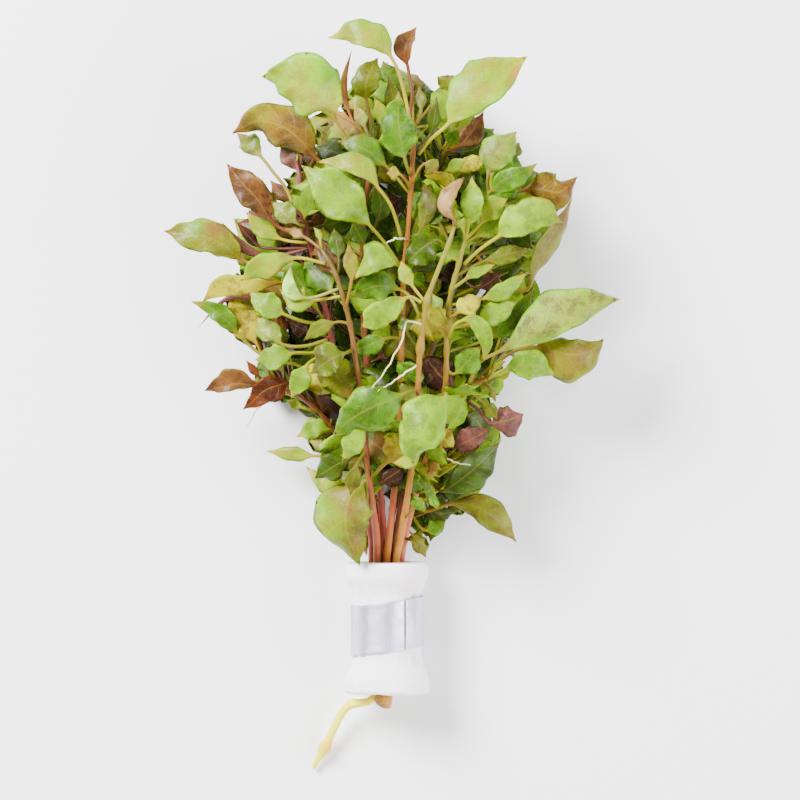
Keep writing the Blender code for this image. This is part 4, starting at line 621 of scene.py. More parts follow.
# Fine form of a blade.
BLADE_GLOW = (0.88, 1.14)      # range of a leaf's own brightness
BLADE_WARM = 0.05
BLADE_WAVES = (1.6, 3.0)       # waves along the margin
WAVE_RANGE = (0.6, 1.3)
PHASES = (0, 6.28)
FULL_TURN = 6.283
HOOK = (0.0, 0.9)              # millimetres that the tip hooks down
SIDE_VEINS = 7.0
VEIN_SLANT = 1.25
LOBES = ((0.08, 11.0, 1), (0.045, 27.0, 2))   # size, waves along the blade, share of the phase
YOUNG_RAGGED = 0.4
FLAT_FROM, FLAT_OVER = 0.75, 1.3              # half widths over which a stalk turns into a blade
PILLOW_WIDTH = 5.0
BLADE_FULL = 1.06              # width of the shown blade, as a share of its solid's
RIB_WIDTH, GROOVE_WIDTH, GROOVE = 0.16, 0.14, 0.5
RIM = 0.999
SKIN_LOW = 0.05
HOOK_LOW = 0.15
TUBE_LOW = 0.03
MARGIN_TONE = (0.85, 0.62, 0.38)   # strength of the margin's tone, where it starts and its reach
TIP_TONE = (0.3, 0.8, 0.2)         # the same towards the tip
PATCH_BLUSH = 0.8                  # share of a patch that also colours the mottling
PATCH_FAR = 6
ROOT_STRAY = (0.35, 0.5)           # fineness and size of a root's wander
ROOT_TAPER = 0.55
LIGHT = 3.7                        # light on the leaves, against which the screen colours are set
SCREEN_CURVE = (0.22, 1.24)
SCREEN_MOST = 0.97
BASE_MOST = 0.9
UV_MARGIN = 0.03

# Colours that the materials mix in.
LEAF_SHADE = (0.52, 0.60, 0.40, 1.0)
LEAF_VEINS = (0.30, 0.32, 0.05, 1.0)
LEAF_SPINE = (0.24, 0.19, 0.03, 1.0)
LEAF_GRAIN = (1.5, 1.45, 1.2, 1.0)
LEAF_UNDER = (0.14, 0.16, 0.03, 1.0)
STEM_SHADE = (0.66, 0.62, 0.60, 1.0)
FOAM_SOFT = (0.86, 0.845, 0.87, 1.0)
FOAM_BLUSH = (0.94, 0.81, 0.81, 1.0)
# painted shade for the foam's sunk cell edges
FOAM_PIT_SHADE = (0.70, 0.69, 0.72, 1.0)
METAL_RUB = (0.80, 0.80, 0.82, 1.0)
METAL_BAND = (0.36, 0.35, 0.46, 1.0)
METAL_SCRATCH = (0.92, 0.92, 0.95, 1.0)
FLOOR_TONE = (0.84, 0.84, 0.84, 1.0)

# Stage: place, aim and size of each light, and the lens.
LIGHT_AIM = (0, 0, 0.02)
KEY_PLACE, KEY_SIZE = (-0.75, 0.7, 0.95), 0.7
FILL_PLACE, FILL_SIZE = (0.95, -0.4, 0.8), 1.0
FLOOR_SIZE = 3.0
FLOOR_DROP = 0.0002
EYE_LENS = 180.0
EYE_SENSOR = 36.0
EYE_CLIP = (0.05, 20.0)


class Leaf(NamedTuple):
    """Where a leaf grows, its way in the picture, its widths and heights, and its tone."""
    stem: str
    at: tuple
    first: int
    points: list
    heights: tuple
    widths: tuple
    rises: tuple
    belly: object
    tone: str
    kind: str
    slide: float = 0.0
    lift: float = 0.0


def spot(px, py, height):
    """Place in millimetres of a picture point that lies at the given height."""
    scale = PIXEL * (EYE - height) / EYE_DISTANCE
    return Vector(((px - EYE_PX[0]) * scale + EYE_XY[0],
                   (EYE_PX[1] - py) * scale + EYE_XY[1], height))


def picture(point):
    """Where a point shows in the picture."""
    scale = PIXEL * (EYE - point.z) / EYE_DISTANCE
    return ((point.x - EYE_XY[0]) / scale + EYE_PX[0], EYE_PX[1] - (point.y - EYE_XY[1]) / scale)


def smooth_run(points):
    """Points along a smooth curve through the given points."""
    ends = [points[0] * 2 - points[1]] + list(points) + [points[-1] * 2 - points[-2]]
    run = []
    for i in range(1, len(ends) - 2):
        a, b, c, d = ends[i - 1:i + 3]
        for k in range(SPAN_STEPS):
            t = k / SPAN_STEPS
            run.append(0.5 * (2 * b + (c - a) * t + (2 * a - 5 * b + 4 * c - d) * t * t
                              + (3 * b - a - 3 * c + d) * t * t * t))
    run.append(points[-1].copy())
    return run


def lengths(run):
    """Length of a run from its start to each of its points."""
    total = [0.0]
    for a, b in zip(run, run[1:]):
        total.append(total[-1] + (b - a).length)
    return total


def read_at(run, total, s):
    """Point of a run at a length from its start."""
    s = min(max(s, 0.0), total[-1])
    for i in range(1, len(run)):
        if total[i] >= s:
            part = (s - total[i - 1]) / max(total[i] - total[i - 1], 1e-9)
            return run[i - 1].lerp(run[i], part)
    return run[-1].copy()


@functools.cache
def stem_run(name):
    """Points along the middle of a stem, from its lower end to its growing tip."""
    (across, up), above, below = STEMS[name]
    x = SLEEVE_AXIS[0] + across * STEM_PITCH
    z = SLEEVE_AXIS[1] + up * STEM_PITCH * STEM_ROW
    inner = [Vector((x, y, z)) for y in STEM_STRAIGHT]
    return smooth_run([spot(*p) for p in reversed(below)] + inner + [spot(*p) for p in above])


def stem_radius(name, point, share):
    """Radius of a stem at a point and a share of its length."""
    radius = STEM_FOOT + (STEM_TOP - STEM_FOOT) * share
    for stem, px, py, extra in NODES:
        if stem == name:
            at = spot(px, py, point.z)
            away = (Vector((at.x, at.y)) - Vector((point.x, point.y))).length
            radius += extra * math.exp(-(away / NODE_REACH) ** 2)
    return radius


@functools.cache
def stem_radii(name):
    """Radius of a stem at each point of its run."""
    run = stem_run(name)
    total = lengths(run)
    return [stem_radius(name, p, s / total[-1]) for p, s in zip(run, total)]


def nearest_on(run, px, py):
    """Index on a run of the point that shows nearest to a picture point."""
    def away(i):
        at = spot(px, py, run[i].z)
        return (at.x - run[i].x) ** 2 + (at.y - run[i].y) ** 2
    return min(range(len(run)), key=away)


def blade_outline(t, belly):
    """Half width of the blade along its length, 1 at the widest place."""
    widest, foot, tip = belly if isinstance(belly, tuple) else (belly, LEAF_FOOT, LEAF_TIP)
    if t <= 0.0 or t >= 1.0:
        return 0.0
    if t < widest:
        return math.sin(math.pi / 2 * t / widest) ** foot
    return math.cos(math.pi / 2 * (t - widest) / (1 - widest)) ** tip


def leaf_line(leaf):
    """Curve of a leaf from its stem to its tip, the lengths along it and the length to the blade."""
    run, first, heights = stem_run(leaf.stem), leaf.first, leaf.heights
    i = min(max(nearest_on(run, *leaf.at), 1), len(run) - 2)
    root = run[i]
    axis = (run[i + 1] - run[i - 1]).normalized()
    blade = leaf.points[first:]
    span = [0.0]
    for a, b in zip(blade, blade[1:]):
        span.append(span[-1] + math.hypot(b[0] - a[0], b[1] - a[1]))
    path = []
    for k, (px, py) in enumerate(leaf.points):
        if k < first:
            share = (k + 1) / (first + 1)
            z = root.z + (heights[0] - root.z) * share + leaf.lift * share
        else:
            t = span[k - first] / span[-1]
            z = (heights[0] * (1 - t) * (1 - 2 * t) + heights[1] * 4 * t * (1 - t)
                 + heights[2] * t * (2 * t - 1)) + leaf.lift
        path.append(spot(px, py, max(z, LOWEST)))
    away = path[0] - root
    away -= axis * away.dot(axis)
    if away.length < SHORT:
        away = UP.copy()
    line = smooth_run([root + away.normalized() * leaf.slide] + path)
    total = lengths(line)
    return line, total, total[(first + 1) * SPAN_STEPS]


def leaf_stations(leaf, shares):
    """Cross-sections of a leaf (midrib point, two directions, half widths, rises, thickness) and its tip."""
    line, total, foot = leaf_line(leaf)
    slim = ROOT_SLIM if max(leaf.widths) < ROOT_WIDTH else 1.0
    result = []
    for part, t in shares:
        s = foot * t if part == 0 else foot + (total[-1] - foot) * t
        way = read_at(line, total, s + WAY_STEP) - read_at(line, total, s - WAY_STEP)
        flat = Vector((way.x, way.y, 0.0))
        if flat.length < SHORT:
            flat = ALONG.copy()
        flat.normalize()
        across = Vector((-flat.y, flat.x, 0.0))
        form = blade_outline(t, leaf.belly) if part == 1 else 0.0
        least = PETIOLE_HALF * (1 - PETIOLE_TAPER * t * part)
        left, right = (max(width * PIXEL * form, least) * slim for width in leaf.widths)
        thick = LEAF_MID + (PETIOLE_DEPTH - LEAF_MID) * (1.0 if part == 0 else (1 - t) ** 4)
        thick *= (1.0 + slim) / 2
        normal = way.normalized().cross(across) * -1
        if normal.z < 0:
            normal.negate()
        rises = [rise * form for rise in leaf.rises]
        result.append((read_at(line, total, s), across, normal, left, right, *rises, thick))
    return result, line[-1]


def leaf_skin(stations, tip, grow=0.0):
    """Closed skin of a leaf, four corners to a station, drawn out to a point at the tip."""
    verts = []
    for p, across, normal, left, right, rise_l, rise_r, thick in stations:
        half = thick / 2 + grow
        edge_l = p + across * (left + grow) + Vector((0, 0, rise_l))
        edge_r = p - across * (right + grow) + Vector((0, 0, rise_r))
        top = p + normal * half
        under = p - normal * half
        if grow == 0.0:
            under.z = max(under.z, 0.0)
            edge_l.z = max(edge_l.z, EDGE_LOW)
            edge_r.z = max(edge_r.z, EDGE_LOW)
            top.z = max(top.z, under.z + BODY_LOW)
        verts += [edge_l, top, edge_r, under]
    end = tip.copy()
    end.z = max(end.z, TIP_LOW)
    verts.append(end)
    faces = [(0, 1, 2), (0, 2, 3)]
    for a in range(0, 4 * (len(stations) - 1), 4):
        b = a + 4
        for j in range(4):
            k = (j + 1) % 4
            faces += [(a + j, b + j, b + k), (a + j, b + k, a + k)]
    a, e = 4 * (len(stations) - 1), len(verts) - 1
    faces += [(a + j, e, a + (j + 1) % 4) for j in range(4)]
    return verts, faces


def box_of(verts):
    """Least and greatest x, y and z."""
    return [(min(v[k] for v in verts), max(v[k] for v in verts)) for k in range(3)]


class Placed:
    """Shapes already in place, each with its box and its search tree."""

    def __init__(self):
        self.items = []

    def add(self, name, verts, faces):
        self.items.append((name, box_of(verts), BVHTree.FromPolygons(verts, faces)))

    def meets(self, verts, faces, leave_out=()):
        """Whether a skin meets any shape but those left out."""
        box = box_of(verts)
        near = [tree for name, other, tree in self.items if name not in leave_out
                and all(a[0] <= b[1] and b[0] <= a[1] for a, b in zip(box, other))]
        if not near:
            return False
        tree = BVHTree.FromPolygons(verts, faces)
        return any(tree.overlap(other) for other in near)


def hoops(run, radii, around):
    """Rings of points round a run, one to each of its points."""
    for k, p in enumerate(run):
        way = (run[min(k + 1, len(run) - 1)] - run[max(k - 1, 0)]).normalized()
        side = way.cross(UP)
        if side.length < 1e-3:
            side = way.cross(ALONG)
        side.normalize()
        up = side.cross(way)
        turns = [2 * math.pi * j / around for j in range(around)]
        yield [p + (side * math.cos(turn) + up * math.sin(turn)) * radii[k] for turn in turns]


def tube_skin(run, radii, sides=8):
    """Tube skin round a run, for the clearance search only."""
    verts = [vert for hoop in hoops(run, radii, sides) for vert in hoop]
    faces = []
    for i in range(len(run) - 1):
        for k in range(sides):
            a, b = i * sides + k, i * sides + (k + 1) % sides
            faces.append((a, b, b + sides, a + sides))
    faces.append(tuple(range(sides)))
    faces.append(tuple(len(verts) - 1 - k for k in range(sides)))
    return verts, faces


def inside(outline, x, y):
    """Whether a picture point lies inside an outline."""
    found = False
    for (ax, ay), (bx, by) in zip(outline, outline[1:] + outline[:1]):
        if (ay > y) != (by > y) and x < (bx - ax) * (y - ay) / (by - ay) + ax:
            found = not found
    return found


def fill_leaves():
    """Leaves that fill the bunch, those of the lowest stems first."""
    chance = random.Random(FILL_SEED)
    for name in sorted(STEMS, key=lambda stem: stem_run(stem)[len(stem_run(stem)) // 2].z):
        run = stem_run(name)
        total = lengths(run)
        begin = next(total[i] for i, p in enumerate(run) if p.y > FILL_START)
        s, turn = begin + chance.uniform(0, 6), chance.uniform(0, 3)
        while s < total[-1] - FILL_END:
            root = read_at(run, total, s)
            axis = (read_at(run, total, s + 0.5) - read_at(run, total, s - 0.5)).normalized()
            side = axis.cross(UP).normalized()
            up = side.cross(axis)
            for half in (0, math.pi):
                angle = turn + half + chance.uniform(-0.3, 0.3)
                out = side * math.cos(angle) + up * math.sin(angle) * FILL_FLAT
                reach = chance.uniform(*FILL_LENGTH)
                way = (out * 0.85 + axis * chance.uniform(0.2, 0.7)).normalized()
                path, heights = [], []
                for part in (0.22, 0.6, 1.0):
                    p = root + way * reach * part
                    p.z = max(p.z - FILL_DROOP * part * part, 1.0)
                    path.append(picture(p))
                    heights.append(p.z)
                ok = all(inside(FOLIAGE, *p) for p in path) and max(heights) < FILL_TOP
                if ok and out.z < FILL_STEEPEST:
                    half_width = reach * FILL_WIDTH / PIXEL
                    yield Leaf(name, picture(root), 0, path, heights, (half_width, half_width), LEVEL,
                               SMALL_BELLY, chance.choice(FILL_TONES), "fill")
            s += FILL_SPACING
            turn += math.pi / 2


def table_leaves():
    """Every leaf of the tables with its name, the lowest first."""
    leaves = {name: Leaf(*row, "large") for name, row in LEAVES.items()}
    for stem, rows in SMALL_LEAVES.items():
        for k, (at, points, heights, widths, tone) in enumerate(rows):
            leaves[stem + "." + str(k)] = Leaf(stem, at, 0, points, heights, widths, LEVEL, SMALL_BELLY,
                                               tone, "small")
    return sorted(leaves.items(), key=lambda item: (item[1].heights[1], item[0]))


def free_place(name, leaf, placed):
    """Cross-sections and tip of a leaf of the tables where it is clear of all others, and the leaf."""
    run, radii = stem_run(leaf.stem), stem_radii(leaf.stem)
    own = Placed()
    kin, slides = [leaf.stem], [0.0]
    if leaf.kind == "small":
        kin += [leaf.stem + "." + str(k) for k in range(len(SMALL_LEAVES[leaf.stem]))]
        shares = ROOT_SHARES if leaf.tone == "root" else SMALL_SHARES
    else:
        shares = [(0, k / (leaf.first + 2)) for k in range(leaf.first + 2)] + BLADE_SHARES
        own.add(leaf.stem, *tube_skin(run, [radius + GAP for radius in radii]))
        radius = radii[min(max(nearest_on(run, *leaf.at), 1), len(run) - 2)]
        slides = [radius + GAP + SLIDE_STEP * k for k in range(1, SLIDE_STEPS)]
    lifts = [0.0] + [side * k * LIFT_STEP for k in range(1, LIFT_STEPS) for side in (1, -1)]
    for lift in lifts:
        for slide in slides:
            trial = leaf._replace(slide=slide, lift=lift)
            stations, tip = leaf_stations(trial, shares)
            if own.items and own.meets(*leaf_skin(stations, tip)):
                continue
            if placed.meets(*leaf_skin(stations, tip, LEAF_CLEAR), kin):
                break
            return stations, tip, trial
    raise ValueError("no free place for " + name)


def cells_under(leaf):
    """Picture cells under a blade, each with the height of the blade there."""
    stations, tip = leaf_stations(leaf, BLADE_SHARES)
    rows = [(picture(p + across * left), picture(p - across * right), p.z)
            for p, across, _, left, right, *_ in stations]
    rows.append((picture(tip), picture(tip), tip.z))
    found = {}
    for (a, b, height), (c, d, _) in zip(rows, rows[1:]):
        quad = [a, b, d, c]
        xs, ys = [corner[0] for corner in quad], [corner[1] for corner in quad]
        for x in range(int(min(xs) // CELL), int(max(xs) // CELL) + 1):
            for y in range(int(min(ys) // CELL), int(max(ys) // CELL) + 1):
                if inside(quad, (x + 0.5) * CELL, (y + 0.5) * CELL):
                    found[x, y] = height
    return found


def root_places():
    """Where a small leaf may grow: stem names, points and directions along the stem."""
    names, points, ways = [], [], []
    for name in STEMS:
        run = stem_run(name)
        for i in range(4, len(run) - 2, 2):
            if run[i].y > 4.0:
                names.append(name)
                points.append(run[i])
                ways.append((run[i + 1] - run[i - 1]).normalized())
    return names, numpy.array(points), numpy.array(ways)


def young_leaf(places, target, height, reach, chance):
    """A leaf from a near stem whose blade lies over a place in the picture, if there is one."""
    names, points, ways = places
    middle = spot(*target, height)
    away = numpy.array(middle) - points
    far = numpy.linalg.norm(away, axis=1)
    bend = numpy.arccos(numpy.clip((away * ways).sum(axis=1) / far, -1.0, 1.0))
    cost = far + YOUNG_BEND * abs(bend - YOUNG_ANGLE)
    cost[(far < reach[0] * 0.6) | (far > YOUNG_REACH) | (away[:, 1] < 1.0)] = NO_PLACE
    near = numpy.argsort(cost)[:YOUNG_NEAR]
    pick = int(near[chance.randrange(YOUNG_NEAR)])
    if cost[pick] == NO_PLACE:
        return None
    root = Vector(points[pick])
    way = middle - root
    half = min(chance.uniform(*reach) / 2, way.length * 0.8)
    ahead = way.normalized()
    ahead.z *= 0.5
    start, end = middle - ahead * half, middle + ahead * half
    droop = chance.uniform(0.0, 2.5)
    path = [picture(p) for p in ((root + start) / 2, start, middle, end)]
    heights = [max(z, 1.0) for z in (start.z, middle.z, end.z - droop)]
    half_width = half * chance.uniform(0.55, 0.78) / PIXEL
    widths = (half_width, half_width * chance.uniform(0.8, 1.2))
    return Leaf(names[pick], picture(root), 1, path, heights, widths, LEVEL, YOUNG_BELLY, "", "young")


class Bunch:
    """Every leaf in its free place, worked out in the order in which it is built."""

    def __init__(self):
        self.leaves = {}
        self.placed = Placed()
        self.young = 0
        self.cover = {}
        self.roof = {}
        for name in STEMS:
            self.placed.add(name, *tube_skin(stem_run(name), stem_radii(name)))
        x, z = SLEEVE_AXIS
        mouth = [Vector((x, 0.0, z)), Vector((x, -SLEEVE_LENGTH, z))]
        self.placed.add("foam_sleeve", *tube_skin(mouth, [SLEEVE_RADIUS, SLEEVE_RADIUS], 24))
        for name, leaf in table_leaves():
            stations, tip, self.leaves[name] = free_place(name, leaf, self.placed)
            self.placed.add(name, *leaf_skin(stations, tip))
        self.fill()
        self.add_tips()
        for leaf in self.leaves.values():
            if leaf.tone != "root":
                self.mark(leaf, leaf.kind != "fill")
        self.set_chosen()
        self.grow_young()

    def fill(self):
        """Add the leaves that fill the inside, as far as there is room."""
        filled = 0
        for leaf in fill_leaves():
            if filled >= FILL_LIMIT:
                break
            for lift in FILL_LIFTS:
                moved = leaf._replace(lift=lift)
                stations, tip = leaf_stations(moved, FILL_SHARES)
                if self.placed.meets(*leaf_skin(stations, tip, LEAF_CLEAR), (leaf.stem,)):
                    continue
                name = leaf.stem + ".fill" + str(filled)
                self.placed.add(name, *leaf_skin(stations, tip))
                self.leaves[name] = moved
                filled += 1
                break

    def keep_young(self, leaf, skin):
        """Keep a young leaf under the next free name."""
        name = leaf.stem + ".young" + str(self.young)
        self.placed.add(name, *skin)
        self.leaves[name] = leaf
        self.young += 1

    def add_tips(self):
        """Add the pair of small new leaves at the growing tip of each stem."""
        for stem in STEMS:
            run = stem_run(stem)
            axis = (run[-1] - run[-6]).normalized()
            side = axis.cross(UP).normalized()
            tone = "bright" if run[-1].z > TIP_HIGH else "amber"
            for turn in (-1, 1):
                path = [run[-1] + axis * reach + side * turn * bow for reach, bow in TIP_PAIR]
                leaf = Leaf(stem, picture(run[-2]), 0, [picture(p) for p in path], [p.z for p in path],
                            (TIP_WIDTH, TIP_WIDTH), LEVEL, YOUNG_BELLY, tone, "young")
                stations, tip = leaf_stations(leaf, YOUNG_SHARES)
                if not self.placed.meets(*leaf_skin(stations[2:], tip), (stem,)):
                    self.keep_young(leaf, leaf_skin(stations, tip))

    def mark(self, leaf, shown):
        """Count a leaf in the cells under it, and keep its height where nothing may cover it."""
        for cell, height in cells_under(leaf).items():
            self.cover[cell] = self.cover.get(cell, 0) + 1
            if shown:
                self.roof[cell] = max(self.roof.get(cell, 0.0), height)

    def place_young(self, leaf):
        """Put a young leaf in place if it is free there and hides no leaf of the tables."""
        if max(leaf.heights) > YOUNG_TOP:
            return False
        stations, tip = leaf_stations(leaf, YOUNG_SHARES)
        blade = [(p, across, normal, left * YOUNG_TOUCH, right * YOUNG_TOUCH, *rises, thick * YOUNG_THIN)
                 for p, across, normal, left, right, *rises, thick in stations[2:]]
        skin = leaf_skin(blade, tip)
        if self.placed.meets(*skin, (leaf.stem,)):
            return False
        if any(height > self.roof.get(cell, OPEN_ROOF) for cell, height in cells_under(leaf).items()):
            return False
        self.keep_young(leaf, skin)
        self.mark(leaf, False)
        return True

    def set_chosen(self):
        """Put each listed leaf in place, moved up or down until it is clear of the others."""
        for stem, at, path, heights, widths, tone in CHOSEN:
            for step in range(CHOSEN_TRIES):
                lift = CHOSEN_STEP * (step // 2) * (-1) ** step
                lifted = [max(z + lift, 1.0) for z in heights]
                leaf = Leaf(stem, at, 0, path, lifted, widths, LEVEL, YOUNG_BELLY, tone, "young")
                if self.place_young(leaf):
                    break

    def grow_young(self):
        """Add young leaves wherever too few leaves lie over each other in the picture."""
        chance = random.Random(YOUNG_SEED)
        across = range(int(PICTURE_SIZE // CELL))
        cells = [(x, y) for x in across for y in across
                 if inside(YOUNG_OUTLINE, (x + 0.5) * CELL, (y + 0.5) * CELL)]
        places = root_places()
        for wanted, heights, reach, tones, left_tones in YOUNG_LAYERS:
            chance.shuffle(cells)
            for x, y in cells:
                if self.cover.get((x, y), 0) >= wanted or self.young >= YOUNG_LIMIT:
                    continue
                if wanted > 1 and (x + y) % YOUNG_SPARSE:
                    continue
                for _ in range(YOUNG_TRIES):
                    target = ((x + chance.random()) * CELL, (y + chance.random()) * CELL)
                    if any(math.dist(target, (px, py)) < open_reach for px, py, open_reach in OPENINGS):
                        continue
                    leaf = young_leaf(places, target, chance.uniform(*heights), reach, chance)
                    if leaf is None or not all(inside(YOUNG_OUTLINE, *p) for p in leaf.points):
                        continue
                    tone = chance.choice(left_tones if target[0] < LEFT_SIDE else tones)
                    if self.place_young(leaf._replace(tone=tone)):
                        break


@functools.cache
def bunch():
    """The free place of every leaf, worked out once."""
    return Bunch()


class LeafLooks(bpy.types.PropertyGroup):
    blade_edge: FloatProperty(
        name="Margin thickness", description="Half thickness of a blade near its margin, in millimetres",
        default=0.13, min=0.05, max=0.4)
    blade_rib: FloatProperty(
        name="Midrib thickness", description="Half thickness of a blade at its midrib, in millimetres",
        default=0.36, min=0.1, max=0.8)
    wave: FloatProperty(
        name="Margin wave", description="Height of the waves along the margin, as a share of the half width",
        default=0.23, min=0.0, max=0.4, subtype="FACTOR")
    pillow: FloatProperty(
        name="Pillow", description="How far the blade stands up between its side veins, in millimetres",
        default=0.24, min=0.0, max=0.8)
    twist: FloatProperty(
        name="Twist", description="Most that a blade turns about its midrib",
        default=math.radians(13), min=0.0, max=1.0, subtype="ANGLE")
    gloss: FloatProperty(
        name="Roughness", description="Roughness of the leaf skin", default=0.40, min=0.05, max=1.0,
        subtype="FACTOR")


class StemLooks(bpy.types.PropertyGroup):
    joint: FloatProperty(
        name="Joint swelling", description="How far a stem swells where a leaf grows, in millimetres",
        default=0.3, min=0.0, max=1.0)
    root_radius: FloatProperty(
        name="Root radius", description="Radius of a white root, in millimetres",
        default=0.3, min=0.1, max=0.6)


class SleeveLooks(bpy.types.PropertyGroup):
    foam: FloatVectorProperty(
        name="Foam colour", description="Colour of the foam sleeve", subtype="COLOR",
        default=(0.94, 0.935, 0.94), min=0.0, max=1.0)
    metal: FloatVectorProperty(
        name="Metal colour", description="Colour of the soft metal strip", subtype="COLOR",
        default=(0.60, 0.59, 0.71), min=0.0, max=1.0)
    cell: FloatProperty(
        name="Foam cell", description="Size of a foam cell, in metres", unit="LENGTH",
        default=0.0009, min=0.0002, max=0.004)
    crease: FloatProperty(
        name="Crease", description="Depth of the creases beside the strip, in millimetres",
        default=1.1, min=0.0, max=3.0)
    steps: IntProperty(
        name="Steps", description="Steps round the sleeve", default=96, min=24, max=256)


class StageLooks(bpy.types.PropertyGroup):
    floor: FloatVectorProperty(
        name="Floor colour", description="Colour of the floor", subtype="COLOR",
        default=(0.90, 0.90, 0.90), min=0.0, max=1.0)
    key: FloatProperty(
        name="Key light", description="Power of the key light", default=94.0, min=0.0, unit="POWER")
    fill: FloatProperty(
        name="Fill light", description="Power of the fill light", default=34.0, min=0.0, unit="POWER")
    sky: FloatProperty(
        name="Sky", description="Strength of the even light all round", default=0.95, min=0.0)


def screen(colour):
    """Base colour that shows about as the given screen colour, 0 to 255, in the light of the stage."""
    scale, power = SCREEN_CURVE
    shares = [min(max(c, 1) / 255, SCREEN_MOST) for c in colour]
    return Vector([min(scale * (c / (1 - c)) ** power / LIGHT, BASE_MOST) for c in shares])


def ease(x):
    """Smooth step from 0 to 1."""
    x = min(max(x, 0.0), 1.0)
    return x * x * (3 - 2 * x)


def to_part():
    """Move from the sleeve's own frame, in metres, to the part's frame."""
    low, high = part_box("foam_sleeve")
    return Vector(((low.x + high.x) / 2 - SLEEVE_AXIS[0] * MM, high.y, low.z))


HOME = to_part()


def socket_math(operation, swap=False):
    """An operator that adds a Math node."""
    def act(self, *others):
        inputs = (*others, self) if swap else (self, *others)
        return self.nodes.value("ShaderNodeMath", {"operation": operation}, dict(enumerate(inputs)))
    return act


class Value:
    """A socket that adds its Math nodes where it is used in an expression."""

    def __init__(self, nodes, socket):
        self.nodes = nodes
        self.socket = socket

    __add__ = __radd__ = socket_math("ADD")
    __sub__ = socket_math("SUBTRACT")
    __rsub__ = socket_math("SUBTRACT", swap=True)
    __mul__ = socket_math("MULTIPLY")
    __abs__ = socket_math("ABSOLUTE")
    fraction = socket_math("FRACT")
    least = socket_math("MINIMUM")

    def ease(self, low, high):
        """0 below low, 1 above high and a smooth step between them."""
        settings = {"interpolation_type": "SMOOTHSTEP"}
        return self.nodes.value("ShaderNodeMapRange", settings, {0: self, 1: low, 2: high})


class Nodes:
    """Adds nodes to one material."""

    def __init__(self, name):
        self.material = bpy.data.materials.new(name)
        self.material.use_nodes = True
        self.tree = self.material.node_tree
        self.shader = self.tree.nodes["Principled BSDF"]
        self.place = self.node("ShaderNodeTexCoord").outputs["Object"]

    def node(self, kind, settings=None, inputs=None):
        made = self.tree.nodes.new(kind)
        for key, setting in (settings or {}).items():
            setattr(made, key, setting)
        for key, given in (inputs or {}).items():
            self.feed(made.inputs[key], given)
        return made

    def feed(self, socket, given):
        if isinstance(given, Value):
            given = given.socket
        if isinstance(given, bpy.types.NodeSocket):
            self.tree.links.new(given, socket)
        else:
            socket.default_value = given

    def value(self, kind, settings=None, inputs=None):
        return Value(self, self.node(kind, settings, inputs).outputs[0])

    def mix(self, factor, a, b, blend="MIX"):
        settings = {"data_type": "RGBA", "blend_type": blend}
        return self.node("ShaderNodeMix", settings, {0: factor, 6: a, 7: b}).outputs[2]

    def shade(self, factor, colour, by):
        """The colour, with a share of it multiplied by another."""
        return self.mix(factor, colour, self.mix(1.0, colour, by, "MULTIPLY"))

    def toward(self, factor, colour, start, end):
        """The colour, with a share of it replaced by what lies halfway between two others."""
        return self.mix(factor, colour, self.mix(0.5, start, end))

    def noise(self, scale, detail=2.0, roughness=0.5, vector=None):
        inputs = {"Scale": scale, "Detail": detail, "Roughness": roughness}
        inputs["Vector"] = vector or self.place
        return self.value("ShaderNodeTexNoise", {}, inputs)

    def cells(self, scale):
        inputs = {"Scale": scale, "Vector": self.place}
        return self.value("ShaderNodeTexVoronoi", {"feature": "DISTANCE_TO_EDGE"}, inputs)

    def stretched(self, vector, scale):
        """The vector, scaled by axis."""
        return self.node("ShaderNodeMapping", {}, {"Vector": vector, "Scale": scale}).outputs[0]

    def leaf_place(self):
        """Coordinates across and along a leaf or a stem."""
        return self.node("ShaderNodeUVMap", {"uv_map": "leaf"}).outputs[0]

    def attribute(self, name, output):
        return self.node("ShaderNodeAttribute", {"attribute_name": name}).outputs[output]

    def tints(self):
        """Colour of the skin and of its mottling, from the mesh."""
        return self.attribute("tint", "Color"), self.attribute("blush", "Color")

    def finish(self, height, strength, distance, **sockets):
        """The material, with a bump of the given height field and the shader's settings."""
        inputs = {"Strength": strength, "Distance": distance, "Height": height}
        sockets["Normal"] = self.node("ShaderNodeBump", {}, inputs).outputs[0]
        for key, given in sockets.items():
            self.feed(self.shader.inputs[key.replace("_", " ")], given)
        return self.material


